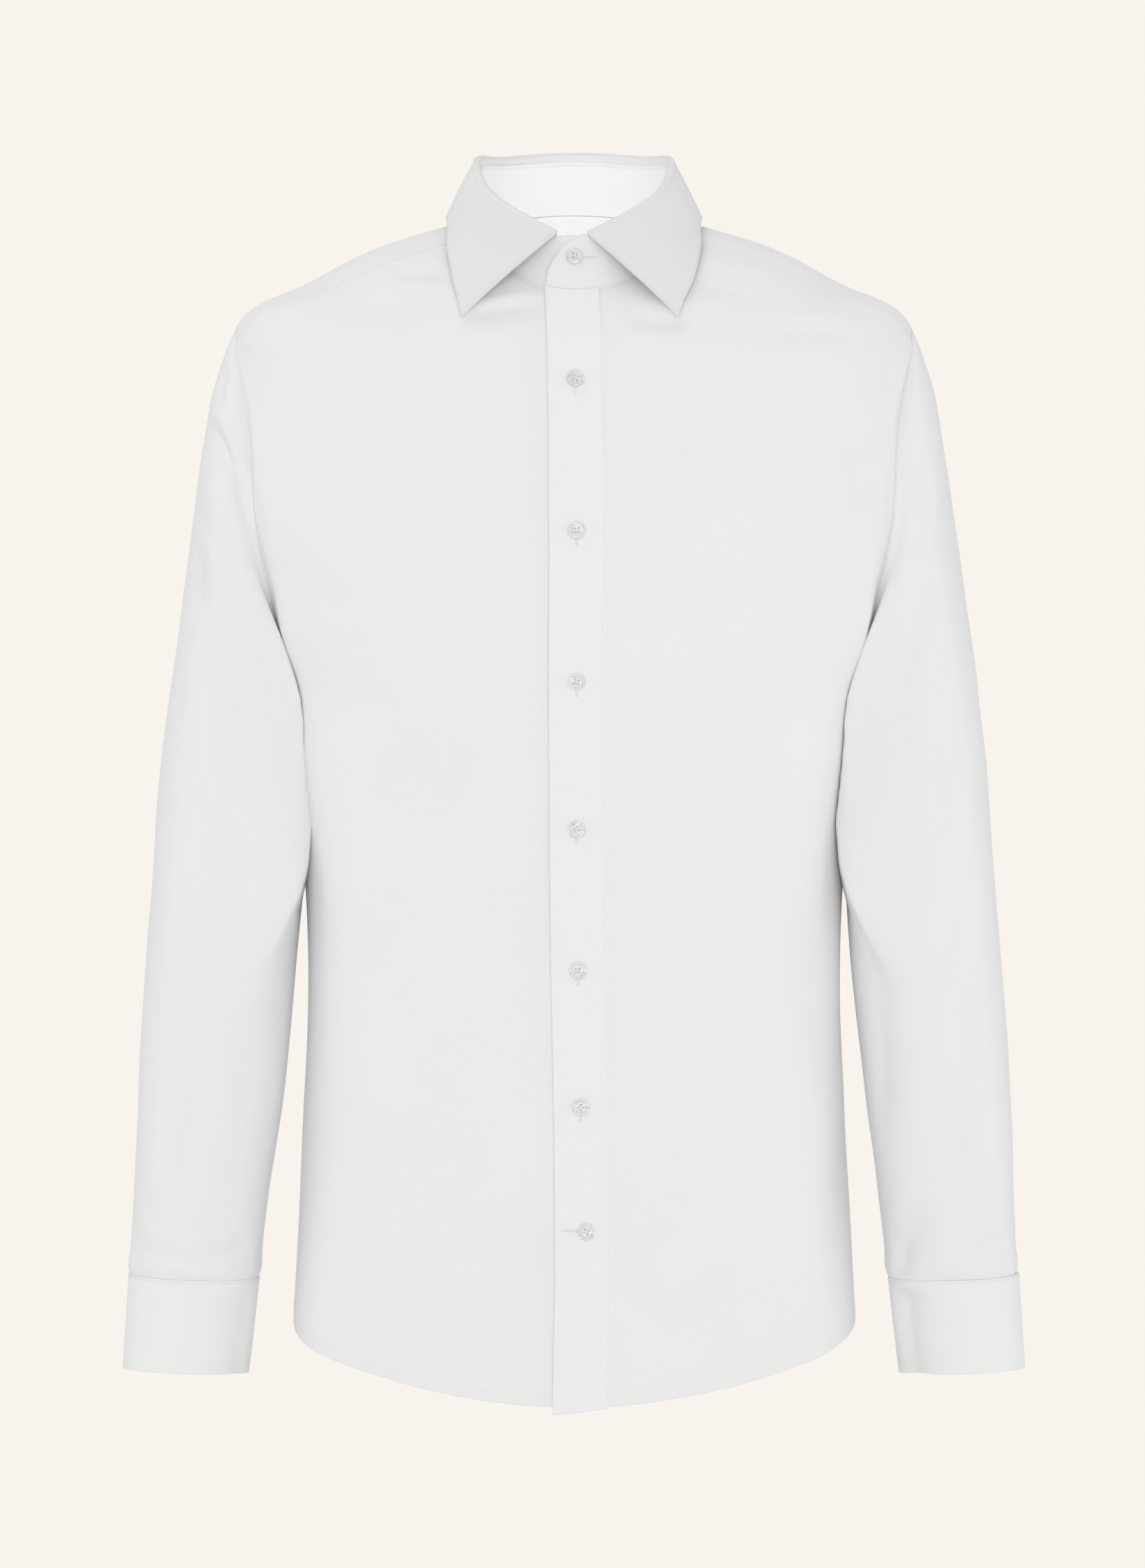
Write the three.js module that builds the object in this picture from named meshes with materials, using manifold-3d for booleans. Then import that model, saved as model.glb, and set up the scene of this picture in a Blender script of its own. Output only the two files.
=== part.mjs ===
// A formal long-sleeved shirt, buttoned and filled out as if worn, with nothing inside it.
// Millimetres, +Z up, the front faces -Y and the wearer's left is +X.
// The origin is the middle of the neck at the height of the shoulder bones.
import * as THREE from "three";
import Module from "manifold-3d";
import { mergeVertices } from "three/addons/utils/BufferGeometryUtils.js";

const wasm = await Module();
wasm.setup();

// ---------------------------------------------------------------- driving sizes
const CLOTH = 1.2; // wall of the body and sleeves
const BAND = 1.5; // wall of the stiffened collar and cuffs
const STRIP = 1.0; // wall of the sewn-on strips
const HALF_SEAM = 0.18; // each edge stands this far back from a seam line
const LIFT = 0.3; // air under a piece that lies on another
const LAP = CLOTH + LIFT; // how far the under front and its band step inwards
const STRIP_WIDTH = 35.3;
const STRIP_DROP = { edge: 4.8, far: 0.8 }; // how far the front strip ends below the hem, at its two sides
const UNDER_FRONT = 15; // the under front runs this far past the middle
const TO_RAD = Math.PI / 180;

const BUTTON = { radius: 5.5, thick: 2.3, dish: 0.7, rim: 1.5, hole: 0.85, spread: 1.55, sides: 20 };
const ROLL = { front: 1.95, back: 2.7 }; // outer radius of the collar's fold
const FOLD_RISE = { front: 2.3, back: 6.2 }; // the fold stands this far above the band
// The fold climbs from the front to the back, flat at the front and with a shoulder at each side.
const FOLD_LINE = { low: -11.6, climb: 76.8, flat: 0.07, side: 8, side_at: 96, side_wide: 27 };
const COLLAR_LEAN = { front: -2.9, gone: 52 }; // the collar's points sit a little to the right
// The left leaf starts nearer the middle than the right one, fading round the neck, in degrees.
const LEAF_CLOSE = { by: 2.2, gone: 60 };
const LEAF_BULGE = { front: 0.12, side: 0.03, from: 30, to: 75 }; // roundness of the leaf's fall
const BAND_END = { over: { from: 9.5, to: -19.5 }, under: { from: 12, to: 17.5 }, least: 0.25 };
// A cuff's opening and the arc over which it steps in are degrees round the wrist.
const CUFF = { lap: 30, proud: 0.7, opening: 238, radius: 41, step_in: 50, steps: 26, lift: 2.2 };
const SLIT = { beside: 14, half_wide: 15, tip: 2, proud: 0.35 }; // the strip above the cuff's opening
const STEP_IN = { from: 22, to: 42 }; // x over which the under front and its band step inwards

// ---------------------------------------------------------------- tables
function table(columns, rows) {
  const names = columns.split(" ");
  return rows.map((row) => Object.fromEntries(names.map((name, i) => [name, row[i]])));
}

// Rings of the body from the hem to the neck seam. Each is tilted through its front, side and back
// heights. "bow" shapes the curve between those heights, and "edge" is the free front edge.
const BODY = table("z_front z_side z_back wide y_front y_mid y_back square bow edge", [
  [-759, -708, -778, 186.0, -124, 5, 112, 2.3, 0.88, -13.6], // hem
  [-672, -668, -676, 183.2, -123, 7, 107, 2.3, 1.6, -12.1],
  [-578, -578, -578, 179.0, -119, 10, 98, 2.3, 2, -12.7],
  [-486, -486, -486, 176.7, -115, 12, 90, 2.3, 2, -14.4], // waist
  [-400, -400, -400, 179.6, -115, 8, 91, 2.3, 2, -15.5],
  [-345, -345, -345, 183.9, -119, 3, 99, 2.3, 2, -15.8],
  [-301, -301, -301, 189.2, -123, 2, 106, 2.3, 2, -16.0], // underarm
  [-258, -245, -247, 211.8, -126, 2, 112, 2.3, 2, -15.8],
  [-214, -185, -188, 232.0, -124, 1, 114.5, 2.3, 2, -15.7],
  [-170, -122, -128, 231.0, -119, 0, 112, 2.3, 2, -16.0],
  [-126, -57, -72, 222.0, -111, 0, 102, 2.3, 2, -16.3], // shoulder tip
  [-98, -30.5, -38, 175.0, -104, 0, 93, 2.25, 1.9, -16.8],
  [-72, -6.5, -8, 129.0, -96, 0, 84, 2.2, 1.8, -17.4],
  [-44, 12, 24, 71.0, -83, 0, 70, 2.1, 1.8, -18.8], // neck seam
]);
const UNDERARM = 6;
const SHOULDER = 10;
const NECK = BODY.length - 1;

// The armhole is an oval on the body, turned by degrees from underarm over the front to the tip.
const ARMHOLE = { front: 66, back: 74, step: 15, yoke_front: 150, yoke_back: 225 };

// Where the front yoke seam lies, in degrees round the body, from the armhole to the neck.
const YOKE_SEAM = table("ring angle", [[SHOULDER - 0.27, 81.5], [SHOULDER + 1, 72], [SHOULDER + 2, 66], [NECK, 60]]);

// Rings of a sleeve: its outermost and innermost points, and its middle and half depth front to back.
const SLEEVE = table("x_out z_out x_in z_in y_mid half_deep square", [
  [222, -57, 189, -301, 0, 70, 2.1], // armhole
  [230.3, -75, 189.7, -303, 3, 75, 2.1],
  [239.3, -103, 188.9, -310, 6, 79, 2.1],
  [246.2, -143, 187, -324, 9, 80, 2.1],
  [253, -190, 185, -343, 9, 78, 2.1],
  [260, -240, 182.7, -366, 6, 74, 2.1],
  [266.4, -293, 180.8, -390, 0, 70, 2.1],
  [272.6, -350, 179.6, -418, -8, 66, 2.1],
  [277.5, -415, 180.8, -452, -14, 62, 2.1],
  [282.5, -486, 185.4, -502, -18, 57, 2.1],
  [286.7, -560, 191.8, -566, -23, 52, 2.1],
  [289.8, -626, 199.8, -628, -25, 46, 2.15],
  [292.0, -683, 207.4, -686, -26, 39, 2.2], // cuff seam
]);
const CUFF_RINGS = table("x_out z_out x_in z_in y_mid half_deep square", [
  [292.0, -683, 207.4, -686, -26, 39, 2.2],
  [294.0, -715, 211.0, -718, -26, 38.5, 2.2],
  [296.0, -745.5, 214.8, -749, -26, 38, 2.2],
]);

// The largest folds: soft troughs on one face of the shirt, from one end to the other, seen from the
// front as x and z. "side" is -1 on the front face and 1 on the back face.
const FOLDS = table("side x0 z0 x1 z1 wide deep", [
  [-1, -238, -128, -212, -190, 15, 3.6], // below the right shoulder
  [-1, 236, -150, 224, -330, 17, 2.6], // down the left sleeve
  [-1, -262, -330, -236, -480, 20, 2.4],
  [-1, 258, -380, 244, -560, 20, 2.2],
  [1, 232, -140, 214, -230, 18, 3.2],
  [1, -240, -200, -228, -360, 18, 2.6],
  [1, -60, -140, -78, -420, 30, 2.8],
  [1, 74, -150, 66, -460, 34, 2.4],
]);

// The collar's outer edge: degrees of the fold above it, and its place on the body as degrees, ring
// and height off the cloth. The first row is the point of the collar.
const LEAF_EDGE = table("fold angle ring off", [
  [9.3, 37, NECK - 1.53, 3.2],
  [20, 39.6, NECK - 1.25, 3.2],
  [32, 43.4, NECK - 1.0, 3.2],
  [46, 49.8, NECK - 0.72, 3.3],
  [60, 59.3, NECK - 0.5, 3.5],
  [76, 72.5, NECK - 0.33, 3.8],
  [100, 97, NECK - 0.27, 4.2],
  [135, 134, NECK - 0.27, 4.6],
  [180, 180, NECK - 0.3, 5],
]);

// Middle of each front button: its place across and its height.
const FRONT_BUTTONS = table("x z", [
  [0.9, -103],
  [1.8, -201],
  [1.8, -297],
  [1.8, -391],
  [2.6, -481],
  [4.4, -568],
  [8.0, -647],
]);
const BAND_BUTTON = { x: 0.4, rise: 0.58, off: 0.4 };

// ---------------------------------------------------------------- curves
const mix = (a, b, t) => a + (b - a) * t;
const clamp = (value, low, high) => Math.min(Math.max(value, low), high);

function ease(low, high, value) {
  const t = clamp((value - low) / (high - low), 0, 1);
  return t * t * (3 - 2 * t);
}

// A smooth curve through one column of a table, read at a fractional row.
function column(rows, name, place) {
  const last = rows.length - 1;
  const i = clamp(Math.floor(place), 0, last - 1);
  const t = place - i;
  const [a, b, c, d] = [i - 1, i, i + 1, i + 2].map((k) => rows[clamp(k, 0, last)][name]);
  return b + 0.5 * t * (c - a + t * (2 * a - 5 * b + 4 * c - d + t * (3 * (b - c) + d - a)));
}

// Straight lines through two columns of a table.
function between(rows, key, name, at) {
  const i = clamp(rows.findIndex((row) => row[key] >= at) - 1, 0, rows.length - 2);
  const [a, b] = [rows[i], rows[i + 1]];
  return mix(a[name], b[name], clamp((at - a[key]) / (b[key] - a[key]), 0, 1));
}

const roundness = (a, b, power) => (Math.abs(a) ** power + Math.abs(b) ** power) ** (-1 / power);

function foldDepth(point, side) {
  let depth = 0;
  for (const fold of FOLDS) {
    if (fold.side * side <= 0) continue;
    const run = [fold.x1 - fold.x0, fold.z1 - fold.z0];
    const length = Math.hypot(...run);
    const [px, pz] = [point.x - fold.x0, point.z - fold.z0];
    const along = (px * run[0] + pz * run[1]) / length;
    const across = (px * run[1] - pz * run[0]) / length;
    const ends = ease(-fold.wide, fold.wide, along) * (1 - ease(length - fold.wide, length + fold.wide, along));
    depth += fold.deep * ends * Math.exp(-((across / fold.wide) ** 2));
  }
  return depth;
}

// ---------------------------------------------------------------- the body as one smooth form
function bodyPoint(angle, ring) {
  const get = (name) => column(BODY, name, ring);
  const [s, c] = [Math.sin(angle * TO_RAD), Math.cos(angle * TO_RAD)];
  const deep = c > 0 ? get("y_mid") - get("y_front") : get("y_back") - get("y_mid");
  const reach = roundness(s / get("wide"), c / deep, get("square"));
  const end = c > 0 ? get("z_front") : get("z_back");
  const z = get("z_side") + (end - get("z_side")) * Math.abs(c) ** get("bow");
  return new THREE.Vector3(reach * s, get("y_mid") - reach * c, z);
}

function normalOf(pointAt, a, b, stepA, stepB) {
  const along = pointAt(a + stepA, b).sub(pointAt(a - stepA, b));
  const up = pointAt(a, b + stepB).sub(pointAt(a, b - stepB));
  return along.cross(up).normalize();
}

const bodyNormal = (angle, ring) =>
  normalOf(bodyPoint, angle, clamp(ring, 0.02, NECK - 0.02), 0.5, 0.02);

// The ring and angle of the armhole, for degrees that turn from the underarm over the front.
const armholeRing = (turn) => mix(UNDERARM, SHOULDER, (1 - Math.cos(turn * TO_RAD)) / 2);

function armholeAngle(turn) {
  const ring = armholeRing(turn);
  const s = Math.sin(turn * TO_RAD);
  const offset = s > 0 ? -ARMHOLE.front * s : -ARMHOLE.back * s;
  const get = (name) => column(BODY, name, ring);
  const deep = offset < 0 ? get("y_mid") - get("y_front") : get("y_back") - get("y_mid");
  const power = get("square");
  const across = get("wide") * (1 - Math.abs(offset / deep) ** power) ** (1 / power);
  return Math.atan2(across, -offset) / TO_RAD;
}

// The angle at which a body panel meets the side seam, the armhole or the yoke, at one ring.
function panelEnd(ring, isFront) {
  if (ring <= UNDERARM) return 90;
  if (isFront && ring > armholeRing(ARMHOLE.yoke_front) - 1e-6) return between(YOKE_SEAM, "ring", "angle", ring);
  const turn = Math.acos(clamp(1 - (2 * (ring - UNDERARM)) / (SHOULDER - UNDERARM), -1, 1)) / TO_RAD;
  return armholeAngle(isFront ? turn : 360 - turn);
}

// The angle at which the front has a given x.
function angleAtX(x, ring) {
  const power = column(BODY, "square", ring);
  const deep = column(BODY, "y_mid", ring) - column(BODY, "y_front", ring);
  const ahead = deep * (1 - Math.abs(x / column(BODY, "wide", ring)) ** power) ** (1 / power);
  return Math.atan2(x, ahead) / TO_RAD;
}

// ---------------------------------------------------------------- walls
// A wall through a grid of outer points, "thick" deep along the normals, closed all round its edges.
function wall(points, normals, thick, isTube = false) {
  const [rows, columns] = [points.length, points[0].length];
  const inner = points.map((line, i) => line.map((p, j) => p.clone().addScaledVector(normals[i][j], -thick)));
  const positions = [...points.flat(), ...inner.flat()].flatMap((p) => [p.x, p.y, p.z]);
  const index = [];
  const id = (side, i, j) => (side * rows + i) * columns + (j % columns);
  const quad = (a, b, c, d) => index.push(a, b, c, a, c, d);
  const spans = isTube ? columns : columns - 1;
  for (let i = 0; i < rows - 1; i += 1) {
    for (let j = 0; j < spans; j += 1) {
      quad(id(0, i, j), id(0, i, j + 1), id(0, i + 1, j + 1), id(0, i + 1, j));
      quad(id(1, i, j), id(1, i + 1, j), id(1, i + 1, j + 1), id(1, i, j + 1));
    }
  }
  for (let j = 0; j < spans; j += 1) {
    quad(id(0, 0, j), id(1, 0, j), id(1, 0, j + 1), id(0, 0, j + 1));
    quad(id(0, rows - 1, j), id(0, rows - 1, j + 1), id(1, rows - 1, j + 1), id(1, rows - 1, j));
  }
  for (let i = 0; i < rows - 1 && !isTube; i += 1) {
    quad(id(0, i, 0), id(0, i + 1, 0), id(1, i + 1, 0), id(1, i, 0));
    quad(id(0, i, columns - 1), id(1, i, columns - 1), id(1, i + 1, columns - 1), id(0, i + 1, columns - 1));
  }
  return facingOut(positions, index);
}

function facingOut(positions, index) {
  let volume = 0;
  const at = (k) => new THREE.Vector3(...positions.slice(3 * k, 3 * k + 3));
  for (let i = 0; i < index.length; i += 3) {
    volume += at(index[i]).dot(at(index[i + 1]).cross(at(index[i + 2])));
  }
  if (volume < 0) index.reverse();
  const geometry = new THREE.BufferGeometry();
  geometry.setAttribute("position", new THREE.Float32BufferAttribute(positions, 3));
  geometry.setIndex(index);
  geometry.computeVertexNormals();
  return geometry;
}

// Draw the edges of a grid back from the seams beside them.
function setBack(points, { first = 0, last = 0, left = 0, right = 0 }) {
  const pull = (p, toward, amount) => p.addScaledVector(toward.clone().sub(p).normalize(), amount);
  const end = points.length - 1;
  points[0].forEach((p, j) => first && pull(p, points[1][j], first));
  points[end].forEach((p, j) => last && pull(p, points[end - 1][j], last));
  for (const line of points) {
    if (left) pull(line[0], line[1], left);
    if (right) pull(line[line.length - 1], line[line.length - 2], right);
  }
  return points;
}

const mirrored = (grid) => grid.map((line) => line.map((p) => new THREE.Vector3(-p.x, p.y, p.z)));

// At the top of the armhole the cloth of body and sleeve is mitred; at the underarm each keeps its own.
const mitre = (turn) => ease(-0.2, 0.6, -Math.cos(turn * TO_RAD));

// ---------------------------------------------------------------- sleeves
function ringPoint(rows, turn, ring) {
  const get = (name) => column(rows, name, ring);
  const [s, c] = [Math.sin(turn * TO_RAD), Math.cos(turn * TO_RAD)];
  const reach = roundness(s, c, get("square"));
  const [mx, mz] = [(get("x_out") + get("x_in")) / 2, (get("z_out") + get("z_in")) / 2];
  const [ex, ez] = [(get("x_out") - get("x_in")) / 2, (get("z_out") - get("z_in")) / 2];
  return new THREE.Vector3(mx - ex * reach * c, get("y_mid") - get("half_deep") * reach * s, mz - ez * reach * c);
}

function sleevePoint(turn, ring) {
  const point = ringPoint(SLEEVE, turn, ring);
  const start = bodyPoint(armholeAngle(turn), armholeRing(turn));
  const blend = 1 - ease(0, 2.6, ring);
  return point.addScaledVector(start.sub(ringPoint(SLEEVE, turn, 0)), blend);
}

const sleeveNormal = (turn, ring) =>
  normalOf(sleevePoint, turn, clamp(ring, 0.05, SLEEVE.length - 1.02), 1, 0.02).negate();

// Both edges at the armhole share this direction where they are mitred.
function armholeNormal(turn, own, other) {
  return own.clone().addScaledVector(other, mitre(turn)).normalize();
}

const armholeTurns = [];
for (let turn = 0; turn < 360; turn += ARMHOLE.step) armholeTurns.push(turn);
const turned = (turn) => ((turn % 360) + 360) % 360;

// ---------------------------------------------------------------- body panels
const LOWER_RINGS = [0, 0.3, 0.75, 1.25, 1.8, 2.4, 3, 3.6, 4.2, 4.7, 5.2, 5.6, 5.85, 6];
const frontTurns = armholeTurns.filter((turn) => turn > 0 && turn <= ARMHOLE.yoke_front);
const backTurns = armholeTurns.filter((turn) => turn > 0 && turn <= 360 - ARMHOLE.yoke_back);
const yokeRings = [0.2, 0.42, 0.66, 0.85, 1].map((t) => mix(armholeRing(ARMHOLE.yoke_front), NECK, t));
const frontRings = [...LOWER_RINGS, ...frontTurns.map(armholeRing), ...yokeRings];
const backRings = [...LOWER_RINGS, ...backTurns.map(armholeRing)];

// Columns close up towards the free edge and the side, where the form turns.
const FRONT_COLUMNS = [0, 0.05, 0.14, 0.27, 0.41, 0.55, 0.68, 0.8, 0.91, 1];
const BACK_COLUMNS = 18;

function panelNormal(angle, ring, turn) {
  const own = bodyNormal(angle, ring);
  if (turn === null) return own;
  return armholeNormal(turn, own, sleeveNormal(turn, 0));
}

const turnOf = (ring, isFront, isEnd) => {
  if (!isEnd || ring <= UNDERARM || (isFront && ring > armholeRing(ARMHOLE.yoke_front) + 1e-6)) return null;
  const turn = Math.acos(clamp(1 - (2 * (ring - UNDERARM)) / (SHOULDER - UNDERARM), -1, 1)) / TO_RAD;
  return isFront ? turn : 360 - turn;
};

// One front, as seen on the wearer's left. "edgeX" gives its free edge at a ring, "sink" moves the
// cloth inwards near the middle, and "mirror" is -1 for the folds of the other front.
function frontGrid(edgeX, sink, mirror) {
  const points = [];
  const normals = [];
  for (const ring of frontRings) {
    const start = angleAtX(edgeX(ring), ring);
    const end = panelEnd(ring, true);
    const line = FRONT_COLUMNS.map((share, j) => {
      const angle = mix(start, end, share);
      const isEnd = j === FRONT_COLUMNS.length - 1;
      const point = bodyPoint(angle, ring);
      const normal = panelNormal(angle, ring, turnOf(ring, true, isEnd));
      const place = new THREE.Vector3(point.x * mirror, point.y, point.z);
      point.addScaledVector(normal, -sink(point.x) - (isEnd ? 0 : foldDepth(place, normal.y)));
      return { point, normal };
    });
    points.push(line.map((cell) => cell.point));
    normals.push(line.map((cell) => cell.normal));
  }
  return { points, normals };
}

function frontLeft() {
  const { points, normals } = frontGrid((ring) => column(BODY, "edge", ring) + 0.6, () => 0, 1);
  setBack(points, { last: HALF_SEAM, right: HALF_SEAM });
  return wall(points, normals, CLOTH);
}

function frontRight() {
  const sink = (x) => LAP * (1 - ease(STEP_IN.from, STEP_IN.to, x));
  const { points, normals } = frontGrid(() => -UNDER_FRONT, sink, -1);
  setBack(points, { last: HALF_SEAM, right: HALF_SEAM });
  return wall(mirrored(points), mirrored(normals), CLOTH);
}

// The strip that carries the buttonholes lies on the left front.
function placket() {
  const points = [];
  const normals = [];
  const shares = [0, 0.25, 0.5, 0.75, 1];
  for (const ring of frontRings) {
    const edge = column(BODY, "edge", ring);
    const angles = shares.map((share) => angleAtX(edge + STRIP_WIDTH * share, ring));
    normals.push(angles.map((angle) => bodyNormal(angle, ring)));
    points.push(angles.map((angle) => bodyPoint(angle, ring).addScaledVector(bodyNormal(angle, ring), LIFT + STRIP)));
  }
  setBack(points, { last: HALF_SEAM + 0.3 });
  points[0].forEach((p, j) => p.setZ(p.z - mix(STRIP_DROP.edge, STRIP_DROP.far, shares[j])));
  return wall(points, normals, STRIP);
}

function back() {
  const points = [];
  const normals = [];
  for (const ring of backRings) {
    const start = panelEnd(ring, false);
    const line = [];
    for (let j = 0; j <= BACK_COLUMNS; j += 1) {
      const angle = mix(start, 360 - start, j / BACK_COLUMNS);
      const isEnd = j === 0 || j === BACK_COLUMNS;
      const point = bodyPoint(angle, ring);
      const turn = turnOf(ring, false, isEnd);
      const normal = panelNormal(j === BACK_COLUMNS ? start : angle, ring, turn);
      if (j === BACK_COLUMNS) normal.x *= -1;
      if (!isEnd && ring < backRings.at(-1)) point.addScaledVector(normal, -foldDepth(point, normal.y));
      line.push({ point, normal });
    }
    points.push(line.map((cell) => cell.point));
    normals.push(line.map((cell) => cell.normal));
  }
  setBack(points, { last: HALF_SEAM, left: HALF_SEAM, right: HALF_SEAM });
  return wall(points, normals, CLOTH);
}

// ---------------------------------------------------------------- yoke
// Columns run from the left front seam round the back of the neck to the right front seam; rows run
// from the neck to the armhole and the back seam.
const yokeShares = [0, ...[...yokeRings].reverse().slice(1).map((ring) => (NECK - ring) / (NECK - armholeRing(150))), 1];
const YOKE_BACK_STEPS = BACK_COLUMNS / 2;

function yokeOutline() {
  const outline = [];
  const turns = armholeTurns.filter((turn) => turn >= ARMHOLE.yoke_front && turn <= ARMHOLE.yoke_back);
  for (const turn of turns) outline.push({ angle: armholeAngle(turn), ring: armholeRing(turn), turn });
  const ring = armholeRing(ARMHOLE.yoke_back);
  for (let j = 1; j <= YOKE_BACK_STEPS; j += 1) {
    outline.push({ angle: mix(armholeAngle(ARMHOLE.yoke_back), 180, j / YOKE_BACK_STEPS), ring, turn: null });
  }
  return outline;
}

const yokeEdge = yokeOutline();
const neckAngles = yokeEdge.map((_, j) => mix(panelEnd(NECK, true), 180, j / (yokeEdge.length - 1)));

function yoke() {
  const half = { points: [], normals: [] };
  for (const share of yokeShares) {
    const cells = yokeEdge.map((outer, j) => {
      const ring = mix(NECK, outer.ring, share);
      const angle = j === 0 ? between(YOKE_SEAM, "ring", "angle", ring) : mix(neckAngles[j], outer.angle, share);
      const isArmhole = share === 1 && outer.turn !== null;
      return { point: bodyPoint(angle, ring), normal: panelNormal(angle, ring, isArmhole ? outer.turn : null) };
    });
    half.points.push(cells.map((cell) => cell.point));
    half.normals.push(cells.map((cell) => cell.normal));
  }
  const whole = (grid) => grid.map((line, i) => [...line, ...mirrored(grid)[i].slice(0, -1).reverse()]);
  const points = whole(half.points);
  setBack(points, { first: HALF_SEAM, last: HALF_SEAM, left: HALF_SEAM, right: HALF_SEAM });
  return wall(points, whole(half.normals), CLOTH);
}

// ---------------------------------------------------------------- collar
const fromFront = (angle) => Math.min(Math.abs(angle), 360 - Math.abs(angle));
const byFront = ({ front, back }, angle) => mix(front, back, ease(0, 40, fromFront(angle)));

function foldHeight(angle) {
  const { low, climb, flat, side, side_at, side_wide } = FOLD_LINE;
  const share = Math.hypot(Math.sin((angle * TO_RAD) / 2), flat) ** 0.97;
  const beside = (fromFront(angle) - side_at) / side_wide;
  return low + climb * share + side * Math.exp(-beside * beside);
}

const TOP = { wide: 63.2, front: 69, back: 62, square: 2.05 };

// Top edge of the band, in degrees round the neck.
function bandTop(angle) {
  const [s, c] = [Math.sin(angle * TO_RAD), Math.cos(angle * TO_RAD)];
  const reach = roundness(s / TOP.wide, c / (c > 0 ? TOP.front : TOP.back), TOP.square);
  const level = Math.max(fromFront(angle), LEAF_EDGE[0].fold);
  return new THREE.Vector3(reach * s, -reach * c, foldHeight(level) - byFront(FOLD_RISE, angle));
}

// The band leans between the neck seam and its top edge, a little hollow between them.
function bandPoint(angle, rise) {
  return bodyPoint(angle, NECK).lerp(bandTop(angle), rise);
}

const bandNormal = (angle, rise) => normalOf(bandPoint, angle, clamp(rise, 0.05, 0.95), 0.5, 0.05);

// The columns of a front carried on into the band, and one more where the leaf begins.
function frontNeckAngles(edgeX) {
  const angles = FRONT_COLUMNS.map((share) => mix(angleAtX(edgeX, NECK), panelEnd(NECK, true), share));
  return [...angles, LEAF_EDGE[0].fold].sort((a, b) => a - b);
}

// The band runs from its over end, round the back of the neck, to its under end.
function bandAngles() {
  const over = frontNeckAngles(BODY[NECK].edge + 0.6);
  const under = frontNeckAngles(-UNDER_FRONT);
  const back = [...neckAngles, ...neckAngles.slice(0, -1).reverse().map((angle) => 360 - angle)];
  return [...over.slice(0, -1), ...back, ...under.slice(0, -1).reverse().map((angle) => 360 - angle)];
}

// Both ends are rounded: the top edge falls away towards each end, slowly on the over end.
function bandReach(angle) {
  const x = bodyPoint(angle, NECK).x;
  const { over, under, least } = BAND_END;
  if (angle > 60 && angle < 300) return 1;
  const round = angle < 60 ? over : under;
  const far = clamp((x - round.from) / (round.to - round.from), 0, 1);
  return Math.max(Math.sqrt(1 - far * far), least);
}

function collarBand() {
  const angles = bandAngles();
  const shares = [0, 0.3, 0.65, 1];
  const points = [];
  const normals = [];
  for (const share of shares) {
    const cells = angles.map((angle) => {
      const rise = share * bandReach(angle);
      const normal = bandNormal(angle, rise);
      const point = bandPoint(angle, rise);
      const sink = angle > 270 ? LAP * (1 - ease(STEP_IN.from, STEP_IN.to, -point.x)) : 0;
      return { point: point.addScaledVector(normal, -sink), normal };
    });
    points.push(cells.map((cell) => cell.point));
    normals.push(cells.map((cell) => cell.normal));
  }
  setBack(points, { first: HALF_SEAM + 0.25 });
  return wall(points, normals, BAND);
}

function leafEdge(fold) {
  const at = Math.min(fold, 360 - fold);
  const rows = LEAF_EDGE;
  const i = clamp(rows.findIndex((row) => row.fold >= at) - 1, 0, rows.length - 2);
  const place = i + (at - rows[i].fold) / (rows[i + 1].fold - rows[i].fold);
  const angle = column(rows, "angle", place);
  const ring = column(rows, "ring", place);
  const point = bodyPoint(angle, ring).addScaledVector(bodyNormal(angle, ring), column(rows, "off", place) + BAND);
  if (fold > 180) point.x *= -1;
  point.x += COLLAR_LEAN.front * (1 - ease(0, COLLAR_LEAN.gone, at));
  return point;
}

// One section of the collar's leaf: up from the band, over the fold, and down to its outer edge.
function leafSection(fold) {
  const close = fold < 180 ? LEAF_CLOSE.by * (1 - ease(0, LEAF_CLOSE.gone, fold)) : 0;
  const top = bandTop(fold - close);
  const run = bandTop(fold - close + 1).sub(bandTop(fold - close - 1)).normalize();
  const out = new THREE.Vector3(0, 0, 1).cross(run).normalize().negate();
  const up = run.clone().cross(out).normalize();
  if (up.z < 0) up.negate();
  const roll = byFront(ROLL, fold);
  const rise = Math.max(byFront(FOLD_RISE, fold) - roll, LIFT);
  const at = (outwards, upwards) => top.clone().addScaledVector(out, outwards).addScaledVector(up, upwards);
  const middle = roll - BAND;
  const section = [at(-BAND, LIFT + 0.25)];
  for (const turn of [180, 135, 90, 45, 0]) {
    const [c, s] = [Math.cos(turn * TO_RAD), Math.sin(turn * TO_RAD)];
    section.push(at(middle + roll * c, rise + 0.3 + roll * s));
  }
  const start = section.at(-1);
  const edge = leafEdge(fold);
  const hang = start.distanceTo(edge);
  const bulge = mix(LEAF_BULGE.front, LEAF_BULGE.side, ease(LEAF_BULGE.from, LEAF_BULGE.to, fromFront(fold)));
  const bend = start.clone().lerp(edge, 0.42).addScaledVector(out, bulge * hang);
  for (const t of [0.25, 0.5, 0.75, 1]) {
    const [a, b, c] = [(1 - t) * (1 - t), 2 * t * (1 - t), t * t];
    section.push(start.clone().multiplyScalar(a).addScaledVector(bend, b).addScaledVector(edge, c));
  }
  return section;
}

function collarLeaf() {
  const ends = LEAF_EDGE[0].fold;
  const half = [ends, 14, 20, 26, 34, 43, 53, 63, 74, 86, 99, 113, 129, 146, 163];
  const folds = [...half, 180, ...[...half].reverse().map((fold) => 360 - fold)];
  const columns = folds.map(leafSection);
  const rows = columns[0].map((_, i) => columns.map((section) => section[i]));
  return wall(rows, gridNormals(rows), BAND);
}

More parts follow.
